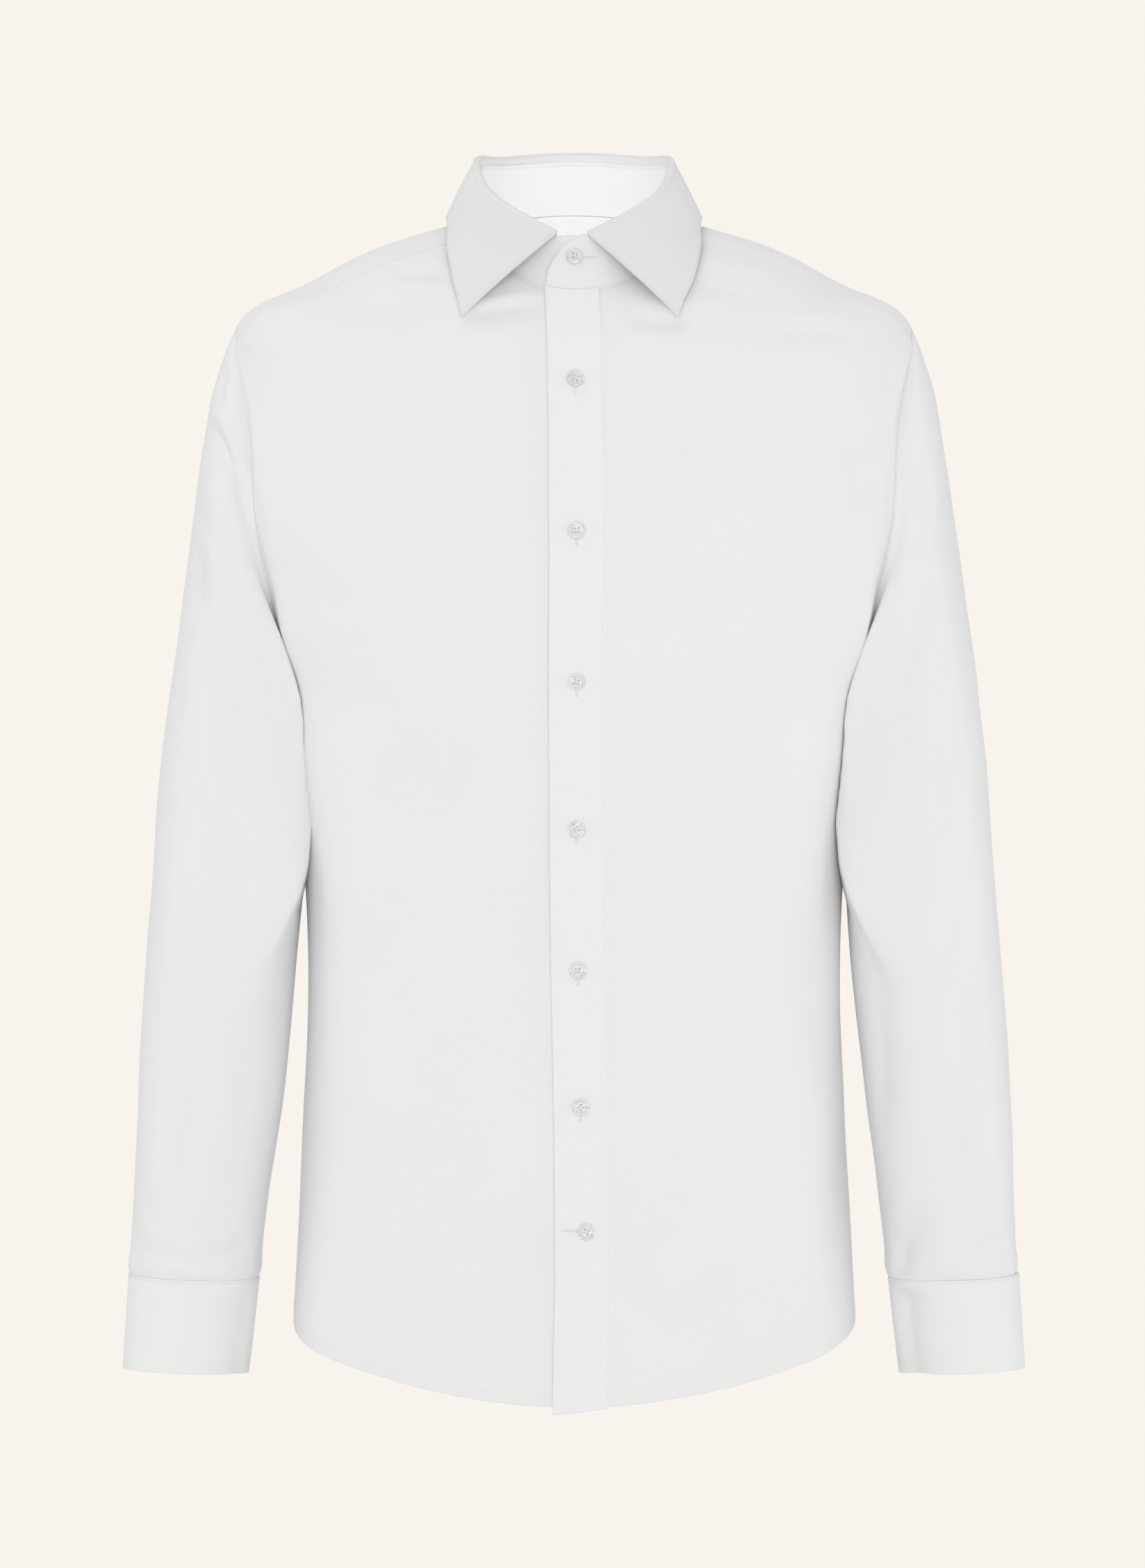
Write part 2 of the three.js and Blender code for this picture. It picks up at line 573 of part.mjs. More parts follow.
// Normals of an open grid from its own points.
function gridNormals(rows) {
  const last = rows.length - 1;
  const end = rows[0].length - 1;
  return rows.map((line, i) =>
    line.map((_, j) => {
      const along = rows[i][Math.min(j + 1, end)].clone().sub(rows[i][Math.max(j - 1, 0)]);
      const down = rows[Math.min(i + 1, last)][j].clone().sub(rows[Math.max(i - 1, 0)][j]);
      return down.cross(along).normalize();
    }),
  );
}

// ---------------------------------------------------------------- sleeves, cuffs and their strips
const SLEEVE_RINGS = [0, 0.5, 1, 1.6, 2.3, 3, 3.7, 4.4, 5.2, 6, 6.8, 7.6, 8.5, 9.4, 10.2, 10.9, 11.5, 12];

function sleeve(side) {
  const points = [];
  const normals = [];
  for (const ring of SLEEVE_RINGS) {
    const line = armholeTurns.map((turn) => {
      const own = sleeveNormal(turn, ring);
      const isSeam = ring === 0;
      const normal = isSeam ? armholeNormal(turn, own, bodyNormal(armholeAngle(turn), armholeRing(turn))) : own;
      const point = sleevePoint(turn, ring);
      const place = new THREE.Vector3(point.x * side, point.y, point.z);
      const depth = foldDepth(place, normal.y) * Math.abs(normal.y) * ease(0, 1.5, ring);
      return { point: point.addScaledVector(normal, -depth), normal };
    });
    points.push(line.map((cell) => cell.point));
    normals.push(line.map((cell) => cell.normal));
  }
  setBack(points, { first: HALF_SEAM, last: HALF_SEAM });
  if (side < 0) return wall(mirrored(points), mirrored(normals), CLOTH, true);
  return wall(points, normals, CLOTH, true);
}

// The lower edge of a cuff lifts a little at the front.
function cuffPoint(turn, ring) {
  const point = ringPoint(CUFF_RINGS, turn, ring);
  return point.setZ(point.z + CUFF.lift * Math.max(Math.sin(turn * TO_RAD), 0) * (ring / 2));
}

const cuffNormal = (turn, ring) => normalOf(cuffPoint, turn, clamp(ring, 0.05, 1.95), 1, 0.05).negate();

// A cuff runs once round the wrist and on under its own end.
function cuff(side) {
  const extra = (CUFF.lap / (2 * Math.PI * CUFF.radius)) * 360;
  const points = [];
  const normals = [];
  for (const ring of [0, 0.7, 1.4, 2]) {
    const line = [];
    for (let j = 0; j <= CUFF.steps; j += 1) {
      const sweep = ((360 + extra) * j) / CUFF.steps;
      const turn = CUFF.opening + sweep;
      const under = (BAND + LIFT) * ease(360 - CUFF.step_in, 360, sweep);
      const normal = cuffNormal(turn, ring);
      line.push({ point: cuffPoint(turn, ring).addScaledVector(normal, CUFF.proud - under), normal });
    }
    points.push(line.map((cell) => cell.point));
    normals.push(line.map((cell) => cell.normal));
  }
  setBack(points, { first: HALF_SEAM });
  if (side < 0) return wall(mirrored(points), mirrored(normals), BAND);
  return wall(points, normals, BAND);
}

// The strip over the slit that lets the cuff open, with its pointed top.
function sleeveStrip(side) {
  const points = [];
  const normals = [];
  const bottom = SLEEVE.length - 1;
  for (const ring of [bottom, bottom - 0.5, bottom - 1, bottom - 1.5, bottom - 2]) {
    const halfWide = ring < bottom - 1.9 ? SLIT.tip : SLIT.half_wide;
    const line = [-1, 0, 1].map((share) => {
      const turn = CUFF.opening + SLIT.beside + halfWide * share;
      const normal = sleeveNormal(turn, ring);
      return { point: sleevePoint(turn, ring).addScaledVector(normal, LIFT + STRIP + SLIT.proud), normal };
    });
    points.push(line.map((cell) => cell.point));
    normals.push(line.map((cell) => cell.normal));
  }
  setBack(points, { first: HALF_SEAM + 0.2 });
  if (side < 0) return wall(mirrored(points), mirrored(normals), STRIP);
  return wall(points, normals, STRIP);
}

// ---------------------------------------------------------------- buttons
function solidOf(geometry) {
  geometry.deleteAttribute("normal");
  geometry.deleteAttribute("uv");
  const merged = mergeVertices(geometry, 1e-4);
  const vertProperties = Float32Array.from(merged.attributes.position.array);
  const triVerts = Uint32Array.from(merged.index.array);
  return new wasm.Manifold(new wasm.Mesh({ numProp: 3, vertProperties, triVerts }));
}

// A dished disc with four holes. Its back lies on z = 0 and its face looks along +z.
function buttonGeometry() {
  const { radius, thick, dish, rim, hole, spread, sides } = BUTTON;
  const profile = [
    [0, 0],
    [radius - 0.7, 0],
    [radius, 0.8],
    [radius - 0.3, thick - 0.2],
    [radius - rim, thick],
    [radius - rim - 0.7, thick - dish],
    [0, thick - dish],
  ].map(([r, z]) => new THREE.Vector2(r, z));
  let solid = solidOf(new THREE.LatheGeometry(profile, sides).rotateX(Math.PI / 2));
  for (const [x, y] of [[1, 1], [-1, 1], [-1, -1], [1, -1]]) {
    const drill = new THREE.CylinderGeometry(hole, hole, 4 * thick, 6).rotateX(Math.PI / 2);
    drill.translate((x * spread) / 1.4, (y * spread) / 1.4, 0);
    solid = solid.subtract(solidOf(drill));
  }
  const mesh = solid.getMesh();
  const geometry = new THREE.BufferGeometry();
  geometry.setAttribute("position", new THREE.Float32BufferAttribute(mesh.vertProperties, 3));
  geometry.setIndex([...mesh.triVerts]);
  geometry.computeVertexNormals();
  return geometry;
}

const group = new THREE.Group();
const cloth = new THREE.MeshStandardMaterial({ color: 0xf0f0ee, roughness: 0.85, metalness: 0 });
const stiffCloth = new THREE.MeshStandardMaterial({ color: 0xf2f2f0, roughness: 0.8, metalness: 0 });
const shell = new THREE.MeshStandardMaterial({ color: 0xf4f2ec, roughness: 0.25, metalness: 0 });

function add(name, geometry, material) {
  const mesh = new THREE.Mesh(geometry, material);
  mesh.name = name;
  group.add(mesh);
  return mesh;
}

const buttonShape = buttonGeometry();

function addButton(name, point, normal) {
  const mesh = add(name, buttonShape, shell);
  mesh.position.copy(point);
  mesh.quaternion.setFromUnitVectors(new THREE.Vector3(0, 0, 1), normal);
}

// The ring whose front lies at a height, found by halving.
function ringAtHeight(x, z) {
  let [low, high] = [0, NECK];
  for (let i = 0; i < 30; i += 1) {
    const middle = (low + high) / 2;
    if (bodyPoint(angleAtX(x, middle), middle).z < z) low = middle;
    else high = middle;
  }
  return low;
}

// ---------------------------------------------------------------- assembly
add("front_left", frontLeft(), cloth);
add("front_right", frontRight(), cloth);
add("back", back(), cloth);
add("yoke", yoke(), cloth);
add("placket", placket(), stiffCloth);
add("collar_band", collarBand(), stiffCloth);
add("collar_leaf", collarLeaf(), stiffCloth);
for (const [name, side] of [["left", 1], ["right", -1]]) {
  add(`sleeve_${name}`, sleeve(side), cloth);
  add(`cuff_${name}`, cuff(side), stiffCloth);
  add(`sleeve_strip_${name}`, sleeveStrip(side), stiffCloth);
}

FRONT_BUTTONS.forEach(({ x, z }, i) => {
  const ring = ringAtHeight(x, z);
  const angle = angleAtX(x, ring);
  const normal = bodyNormal(angle, ring);
  addButton(`button_front_${i + 1}`, bodyPoint(angle, ring).addScaledVector(normal, 2 * LIFT + STRIP), normal);
});

const bandAngle = angleAtX(BAND_BUTTON.x, NECK);
const bandOut = bandNormal(bandAngle, BAND_BUTTON.rise);
const bandSeat = bandPoint(bandAngle, BAND_BUTTON.rise).addScaledVector(bandOut, BAND_BUTTON.off);
addButton("button_collar", bandSeat, bandOut);

for (const [name, side] of [["left", 1], ["right", -1]]) {
  const turn = CUFF.opening + SLIT.beside;
  const normal = cuffNormal(turn, 1);
  const point = cuffPoint(turn, 1).addScaledVector(normal, CUFF.proud + LIFT);
  point.x *= side;
  normal.x *= side;
  addButton(`button_cuff_${name}`, point, normal);
}

export default group;
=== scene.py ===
# Looks of a formal white shirt, buttoned and filled out as if worn, with nothing inside it.
# Tables and lengths are in millimetres and become metres when a mesh is made. -Y is the front.
import math

import bmesh
import bpy
import numpy as np
from mathutils import Matrix, Vector


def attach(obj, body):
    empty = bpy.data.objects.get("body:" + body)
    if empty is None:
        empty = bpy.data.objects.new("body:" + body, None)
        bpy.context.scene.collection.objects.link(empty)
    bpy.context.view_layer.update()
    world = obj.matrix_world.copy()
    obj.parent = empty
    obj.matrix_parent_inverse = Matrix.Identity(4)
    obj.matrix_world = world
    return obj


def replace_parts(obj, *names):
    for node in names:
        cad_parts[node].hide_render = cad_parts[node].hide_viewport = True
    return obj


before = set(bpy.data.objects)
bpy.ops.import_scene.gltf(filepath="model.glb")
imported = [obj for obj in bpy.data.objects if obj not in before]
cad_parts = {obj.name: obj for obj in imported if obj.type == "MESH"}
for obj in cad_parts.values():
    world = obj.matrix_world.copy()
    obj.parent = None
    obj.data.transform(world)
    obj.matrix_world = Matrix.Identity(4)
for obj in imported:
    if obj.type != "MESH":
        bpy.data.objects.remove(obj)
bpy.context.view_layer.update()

# ---------- driving sizes
MM = 0.001
CLOTH = 1.2  # wall of the body and sleeves
BAND = 1.5  # wall of the stiffened collar and cuffs
STRIP = 1.0  # wall of the sewn-on strips
LIFT = 0.3  # air under a piece that lies on another
LAP = CLOTH + LIFT  # how far the under front and its band step inwards
LAP_END = (22, 42)  # between these distances past the middle the step fades out
STRIP_WIDTH = 35.3
OVER_EDGE = 0.6  # how far inside the strip's edge the upper front and its band end
UNDER_FRONT = 15
STRIP_DROP = (4.8, 0.8)  # how far the front strip ends below the hem, at its two sides
ROLL = (1.95, 2.7)  # outer radius of the collar's fold, at the front and at the back
FOLD_RISE = (2.3, 6.2)  # how far the fold stands above the band, at the front and at the back
FRONT_ENDS = 40  # degrees from the front over which the collar's front measures give way to the others
FOLD_LINE = {  # heights of the fold: its front, its climb to the back and a rise at the sides
    "low": -11.6, "climb": 76.8, "flat": 0.07, "power": 0.97, "side": 8, "side_at": 96, "side_wide": 27,
}
LEAF_CLOSE = (2.2, 60)  # the left leaf starts this much nearer the middle, fading over these degrees
LEAF_BULGE = (0.12, 0.03, 30, 75)  # roundness of its fall in front and beside, and between which degrees
LEAF = {"off": 0.12, "turn_in": 0.7, "hang": 0.42, "rim": 0.9}  # its inner row and how it falls from the fold
COLLAR_LEAN = (-2.9, 52)  # the collar's points sit this far to the right, fading over these degrees
CUFF = {"lap": 30, "proud": 0.7, "opening": 238, "lift": 2.2, "around": 2 * math.pi * 41}
SLIT_AT = CUFF["opening"] + 14.0  # where the sleeve's slit, its strip and the cuff's button are, in degrees
LAP_UNDER = (310, 360)  # degrees past the opening between which the cuff's lap goes under
SLIT_STRIP = {"half": 15, "point": 0.13, "taper": 0.55, "proud": 0.9}
THREAD = {"pitch": 2.5, "long": 1.9, "radius": 0.17}

STEP = 3.0  # spacing of the cloth's points
SPREAD = {  # about how long pieces are across or down, and the spacing of their points
    "front": (230, STEP), "back": (520, STEP * 1.5), "strip": (STRIP_WIDTH, 2.4), "yoke": (150, STEP),
    "band_round": (500, 2.2), "band_up": (36, 2.6), "leaf_round": (560, 2.2), "leaf_down": (60, 2.0),
    "cuff_round": (280, 2.6), "cuff_down": (64, 2.6), "slit_down": (125, 2.6), "slit_across": (24, 2.4),
}
UNSEWN = 99.0  # the distance given to a face that has no stitched line
SIDE_SWELL = {"body": 9, "sleeve": 22, "apart": 0.3, "outer": 5}  # fuller cloth where sleeves and body meet
SWELL_LIMIT = ((-445, -412, -340, -285), (0, 7, 16, 28))  # how far past its form a sleeve swells, by height
SWELL_ZONE = {  # degrees round the body or the sleeve, and heights, between which it rises and falls
    "body": ((44, 72), (82, 90)), "body_z": (-130, -220), "outer": ((100, 132), (150, 176)),
    "outer_z": (-600, -675), "inner": ((-12, 14), (54, 84)), "inner_z": ((-120, -200), (-430, -500)),
}
CREASE = {"wander": 0.16, "bends": 2.6, "ends": 0.35, "power": 1.6, "ridge": 0.3, "ridge_wide": 0.7,
          "facing": (0.05, 0.6)}
FADE = {  # how far from an edge each effect has come in fully
    "crease": 9, "soft": 25, "swell": 10, "sleeve_soft": 30, "sleeve_swell": 8, "yoke": 20, "back": 40,
    "leaf": 8, "cuff": (2, 14), "puff_end": 1.2,
}
WAVE = {"count": 14, "long": (38, 130), "swell": (35, 80), "start": 6.3, "upright": 0.55}
WAVES = {  # seed and height of each piece's soft waves
    "front": (3, 0.4), "back": (5, 0.4), "yoke": (9, 0.12), "collar_band": (12, 0.05),
    "collar_leaf": (15, 0.06), "cuff": (31, 0.07), "sleeve_left": (21, 0.26), "sleeve_right": (27, 0.26),
}
GATHER = {"deep": 0.5, "folds": 11, "at": 14, "wide": 160}  # small folds above a cuff
PUFF = {"out": 1.1, "at": 7, "wide": 40}  # the sleeve's fullness just above a cuff
# Small puckers along the two stitched edges of the front strip.
PUCKER = {"deep": 0.12, "wave": 2.1, "drift": 1.5, "drift_wave": 17, "at": 1.5, "wide": 4}
HEM = {"at": 6.5, "drop_fade": 12}
ROWS = {"yoke": 1.3, "band": 1.6, "band_inside": 1.7, "strip": 1.1, "cuff": 1.6, "slit": 1.5}  # from an edge
# Each buttonhole: how far its middle is to the right of its button and above it, and its length.
HOLES = {"front": (0, -3.2, 12), "lowest": (-7.6, 0.6, 15), "collar": (6.2, 0, 15), "cuff": (3.5, 0, 14)}
HOLE = {"wide": 0.7, "slit": 0.18, "pitch": 0.42, "stitch": 0.12, "ends": (0.1, 0.5), "bold": 0.21}

# How each sheet was cut flat: width and length in metres, area in square metres where it isn't a
# rectangle, how it is held and what it rests on.
CUTS = {
    "front": ((0.25, 0.76), 0.172, "hung", ["yoke"]),
    "back": ((0.56, 0.70), 0.36, "hung", ["yoke"]),
    "placket": ((0.037, 0.74), None, "hung", ["front_left"]),
    "yoke": ((0.50, 0.21), 0.075, "laid", []),
    "collar_band": ((0.475, 0.036), 0.0165, "hung", ["yoke"]),
    "collar_leaf": ((0.50, 0.085), 0.034, "folded", ["collar_band"]),
    "sleeve": ((0.47, 0.63), 0.225, "hung", ["yoke"]),
    "cuff": ((0.285, 0.064), None, "hung", ["sleeve"]),
    "sleeve_strip": ((0.026, 0.125), 0.0028, "hung", ["sleeve"]),
}


def table(columns, rows):
    names = columns.split()
    return {name: np.array([row[i] for row in rows], float) for i, name in enumerate(names)}


BODY = table("z_front z_side z_back wide y_front y_mid y_back square bow edge", [
    [-759, -708, -778, 186.0, -124, 5, 112, 2.3, 0.88, -13.6],  # hem
    [-672, -668, -676, 183.2, -123, 7, 107, 2.3, 1.6, -12.1],
    [-578, -578, -578, 179.0, -119, 10, 98, 2.3, 2, -12.7],
    [-486, -486, -486, 176.7, -115, 12, 90, 2.3, 2, -14.4],  # waist
    [-400, -400, -400, 179.6, -115, 8, 91, 2.3, 2, -15.5],
    [-345, -345, -345, 183.9, -119, 3, 99, 2.3, 2, -15.8],
    [-301, -301, -301, 189.2, -123, 2, 106, 2.3, 2, -16.0],  # underarm
    [-258, -245, -247, 211.8, -126, 2, 112, 2.3, 2, -15.8],
    [-214, -185, -188, 232.0, -124, 1, 114.5, 2.3, 2, -15.7],
    [-170, -122, -128, 231.0, -119, 0, 112, 2.3, 2, -16.0],
    [-126, -57, -72, 222.0, -111, 0, 102, 2.3, 2, -16.3],  # shoulder tip
    [-98, -30.5, -38, 175.0, -104, 0, 93, 2.25, 1.9, -16.8],
    [-72, -6.5, -8, 129.0, -96, 0, 84, 2.2, 1.8, -17.4],
    [-44, 12, 24, 71.0, -83, 0, 70, 2.1, 1.8, -18.8],  # neck seam
])
UNDERARM, SHOULDER, NECK = 6, 10, 13  # rings of the body
ARMHOLE = {"front": 66, "back": 74, "yoke_front": 150, "yoke_back": 225}
YOKE_SEAM = table("ring angle", [[SHOULDER - 0.27, 81.5], [SHOULDER + 1, 72], [SHOULDER + 2, 66], [NECK, 60]])

SLEEVE = table("x_out z_out x_in z_in y_mid half_deep square", [
    [222, -57, 189, -301, 0, 70, 2.1],  # armhole
    [230.3, -75, 189.7, -303, 3, 75, 2.1],
    [239.3, -103, 188.9, -310, 6, 79, 2.1],
    [246.2, -143, 187, -324, 9, 80, 2.1],
    [253, -190, 185, -343, 9, 78, 2.1],
    [260, -240, 182.7, -366, 6, 74, 2.1],
    [266.4, -293, 180.8, -390, 0, 70, 2.1],
    [272.6, -350, 179.6, -418, -8, 66, 2.1],
    [277.5, -415, 180.8, -452, -14, 62, 2.1],
    [282.5, -486, 185.4, -502, -18, 57, 2.1],
    [286.7, -560, 191.8, -566, -23, 52, 2.1],
    [289.8, -626, 199.8, -628, -25, 46, 2.15],
    [292.0, -683, 207.4, -686, -26, 39, 2.2],  # cuff seam
])
CUFF_SEAM = 12  # ring of the sleeve
CUFF_RINGS = table("x_out z_out x_in z_in y_mid half_deep square", [
    [292.0, -683, 207.4, -686, -26, 39, 2.2],
    [294.0, -715, 211.0, -718, -26, 38.5, 2.2],
    [296.0, -745.5, 214.8, -749, -26, 38, 2.2],
])
LEAF_EDGE = table("fold angle ring off", [
    [9.3, 37, NECK - 1.53, 3.2],
    [20, 39.6, NECK - 1.25, 3.2],
    [32, 43.4, NECK - 1.0, 3.2],
    [46, 49.8, NECK - 0.72, 3.3],
    [60, 59.3, NECK - 0.5, 3.5],
    [76, 72.5, NECK - 0.33, 3.8],
    [100, 97, NECK - 0.27, 4.2],
    [135, 134, NECK - 0.27, 4.6],
    [180, 180, NECK - 0.3, 5],
])
BAND_END = {"over": (9.5, -19.5), "under": (12, 17.5), "least": 0.25, "curl": 0.9}
TOP = {"wide": 63.2, "front": 69, "back": 62, "square": 2.05}

# Creases: soft troughs (deep above 0) and ridges (below 0) on the front face (side -1) or the back
# face (side 1), from one end to the other as seen from the front. Going from the first end to the
# second, "left" and "right" are how wide its two flanks are: a narrow one makes a sharp fold.
CREASES = table("side x0 z0 x1 z1 left right deep", [
    # right sleeve, front
    [-1, -244, -116, -203, -197, 4.2, 10, 6],
    [-1, -229, -87, -233, -118, 3, 3.4, 2.6],
    [-1, -224, -95, -217, -110, 3.2, 3, 1.8],
    [-1, -224, -80, -214, -77, 3, 3, 1.4],
    [-1, -222, -90, -209, -83, 3, 3, 1.5],
    [-1, -245, -204, -246, -250, 6, 12, 3],
    [-1, -224, -268, -219, -380, 14, 9, 2.1],
    [-1, -251, -560, -255, -640, 12, 10, 2.5],
    [-1, -214, -512, -220, -650, 13, 10, 2.1],
    [-1, -285, -664, -246, -672, 5, 4, 2.2],
    [-1, -240, -671, -212, -663, 6, 4, 2.6],
    # left sleeve, front
    [-1, 232, -131, 229, -180, 7, 12, 3],
    [-1, 233, -150, 215, -226, 5, 15, 3.4],
    [-1, 229, -212, 212, -300, 7, 12, 2.6],
    [-1, 206, -100, 213, -113, 3, 3, 1.4],
    [-1, 205, -118, 214, -128, 3, 3, 1.5],
    [-1, 195, -430, 204, -610, 12, 8, 4.4],
    [-1, 248, -560, 252, -628, 13, 11, 2.1],
    [-1, 226, -640, 210, -672, 9, 7, 3.8],
    [-1, 240, -668, 286, -660, 5, 4, 2.3],
    # cuffs, front
    [-1, 208, -656, 215, -796, 20, 12, 7],
    [-1, -212, -664, -220, -790, 9, 16, 2.6],
    # body, front
    [-1, 195, -159, 185, -184, 5, 8, 3],
    [-1, 188, -222, 150, -252, 12, 14, 2.3],
    [-1, -186, -222, -150, -256, 12, 14, 2.3],
    [-1, -70, -61, -19, -52, 3.4, 8, 2.5],
    [-1, -118, -31, -80, -31, 6, 4, 2.3],
    [-1, -172, -70, -120, -46, 9, 7, 1.7],
    [-1, 76, -38, 126, -43, 8, 8, 3],
    [-1, 34, -60, 76, -66, 6, 6, 2.7],
    [-1, 98, -67, 187, -72, 5, 7, 2.5],
    [-1, -123, -455, -119, -530, 16, 16, 2.5],
    [-1, -122, -540, -134, -600, 18, 18, -1.7],
    [-1, 112, -606, 120, -640, 18, 18, -2.1],
    [-1, -19, -655, -13, -700, 13, 9, 2.8],
    [-1, 36, -660, 40, -700, 9, 12, 2.3],
    [-1, -150, -690, -90, -716, 16, 14, 3],
    [-1, 60, -716, 120, -694, 16, 14, 2.7],
    [-1, 150, -420, 158, -560, 18, 18, 2.5],
    # hidden faces
    [1, 232, -140, 214, -230, 7, 10, 4.6],
    [1, -236, -180, -222, -300, 9, 12, 4.6],
    [1, 222, -88, 228, -122, 4, 5, 2.2],
    [1, 262, -330, 240, -470, 16, 14, 3.8],
    [1, -256, -420, -244, -560, 14, 11, 3.4],
    [1, 236, -640, 214, -668, 8, 6, 3.8],
    [1, -60, -140, -78, -420, 28, 24, 4.9],
    [1, 74, -150, 66, -460, 30, 26, 4.2],
    [1, -150, -300, -120, -380, 14, 12, 3],
    [1, 170, -250, 128, -300, 12, 10, 3.2],
    [1, 20, -520, 34, -700, 24, 20, 3],
    [1, -110, -560, -96, -720, 22, 19, 2.7],
])
FRONT_BUTTONS = [(0.9, -103), (1.8, -201), (1.8, -297), (1.8, -391), (2.6, -481), (4.4, -568), (8.0, -647)]
BAND_BUTTON = {"x": 0.4, "rise": 0.58, "off": 0.4, "turns": (8, 5, 10)}
# How far each front button is turned to the right and up, and its holes round, in degrees.
BUTTON_TURNS = [(7, 4, 5), (8, 3, 30), (0, 0, 12), (-4, 2, 50), (-3, 0, 24), (4, 2, 66), (0, 0, 0)]
BUTTON = {"radius": 5.35, "thick": 2.1, "dish": 0.8, "rim": 1.2, "hole": 0.6, "spread": 1.6}
HOLE_TURNS = (22, 112, 202, 292)  # where the four holes of a button are, in degrees
SIDES = (("left", 1), ("right", -1))  # each side and its hand: the right is the left mirrored


# ---------- curves
def ease(low, high, value):
    t = np.clip((np.asarray(value, float) - low) / (high - low), 0, 1)
    return t * t * (3 - 2 * t)


def between(value, rise, fall):
    """1 between two ends and 0 outside them, easing over the range given for each end."""
    return ease(*rise, value) * (1 - ease(*fall, value))


def column(rows, name, place):
    """A smooth curve through one column of a table, read at fractional rows."""
    values = rows[name]
    last = len(values) - 1
    place = np.asarray(place, float)
    i = np.clip(np.floor(place).astype(int), 0, last - 1)
    t = place - i
    a, b, c, d = (values[np.clip(i + k, 0, last)] for k in (-1, 0, 1, 2))
    return b + 0.5 * t * (c - a + t * (2 * a - 5 * b + 4 * c - d + t * (3 * (b - c) + d - a)))


def sin_cos(degrees):
    return np.sin(np.radians(degrees)), np.cos(np.radians(degrees))


def roundness(a, b, power):
    return (np.abs(a) ** power + np.abs(b) ** power) ** (-1 / power)


def points3(x, y, z):
    return np.stack(np.broadcast_arrays(x, y, z), -1)


def unit(v):
    return v / np.maximum(np.linalg.norm(v, axis=-1, keepdims=True), 1e-9)


def normal_of(point_at, a, b, step_a, step_b):
    along = point_at(a + step_a, b) - point_at(a - step_a, b)
    up = point_at(a, b + step_b) - point_at(a, b - step_b)
    return unit(np.cross(along, up))


def run_along(points, axis=0):
    """How far each point of a line, or of each line of a grid, lies along it."""
    steps = np.linalg.norm(np.diff(points, axis=axis), axis=-1)
    return np.insert(np.cumsum(steps, axis), 0, 0, axis)


def away_from_edges(grid):
    """Distance of each point of a grid from its first and last rows and its left and right columns."""
    v, u = run_along(grid, 0), run_along(grid, 1)
    return {"first": v, "last": v[-1:] - v, "left": u, "right": u[:, -1:] - u}


def nearest(gaps, *edges):
    return np.minimum.reduce([gaps[edge] for edge in edges])


def laid(point_at, normal_at, a, b):
    """A grid on a form, its normals, and how far its points are from its edges."""
    grid = point_at(a, b)
    return grid, normal_at(a, b), away_from_edges(grid)


def spaced(length, step, fine=(0, 0.2, 0.5, 1.0, 2.0, 3.4), ends=(True, True)):
    """Shares of a length, close together at its edges and a step apart between them."""
    near = np.array(fine, float)
    low = near if ends[0] else np.zeros(1)
    high = length - near[::-1] if ends[1] else np.array([length], float)
    count = max(int((high[0] - low[-1]) / step), 2)
    return np.concatenate([low[:-1], np.linspace(low[-1], high[0], count), high[1:]]) / length


def rolled(gap, radius=0.7):
    """How far a folded edge turns in, for points this far from it."""
    t = np.clip((radius - gap) / radius, 0, 1)
    return radius * (1 - np.sqrt(1 - 0.92 * t * t))


# ---------- the body as one smooth form
def body_point(angle, ring):
    angle, ring = np.broadcast_arrays(np.asarray(angle, float), np.asarray(ring, float))
    s, c = sin_cos(angle)
    get = lambda name: column(BODY, name, ring)
    mid, side = get("y_mid"), get("z_side")
    deep = np.where(c > 0, mid - get("y_front"), get("y_back") - mid)
    reach = roundness(s / get("wide"), c / deep, get("square"))
    end = np.where(c > 0, get("z_front"), get("z_back"))
    return points3(reach * s, mid - reach * c, side + (end - side) * np.abs(c) ** get("bow"))


def body_normal(angle, ring):
    return normal_of(body_point, angle, np.clip(ring, 0.02, NECK - 0.02), 0.5, 0.02)


def armhole_ring(turn):
    return UNDERARM + (SHOULDER - UNDERARM) * (1 - np.cos(np.radians(turn))) / 2


def armhole_angle(turn):
    ring = armhole_ring(turn)
    s = np.sin(np.radians(turn))
    offset = np.where(s > 0, -ARMHOLE["front"] * s, -ARMHOLE["back"] * s)
    get = lambda name: column(BODY, name, ring)
    deep = np.where(offset < 0, get("y_mid") - get("y_front"), get("y_back") - get("y_mid"))
    power = get("square")
    across = get("wide") * (1 - np.abs(offset / deep) ** power) ** (1 / power)
    return np.degrees(np.arctan2(across, -offset))


def turn_at(ring, is_front):
    turn = np.degrees(np.arccos(np.clip(1 - 2 * (ring - UNDERARM) / (SHOULDER - UNDERARM), -1, 1)))
    return turn if is_front else 360 - turn


def panel_end(ring, is_front):
    end = np.where(ring <= UNDERARM, 90.0, armhole_angle(turn_at(ring, is_front)))
    if not is_front:
        return end
    seam = np.interp(ring, YOKE_SEAM["ring"], YOKE_SEAM["angle"])
    return np.where(ring > armhole_ring(ARMHOLE["yoke_front"]), seam, end)


def angle_at_x(x, ring):
    power = column(BODY, "square", ring)
    deep = column(BODY, "y_mid", ring) - column(BODY, "y_front", ring)
    ahead = deep * (1 - np.abs(x / column(BODY, "wide", ring)) ** power) ** (1 / power)
    return np.degrees(np.arctan2(x, ahead))


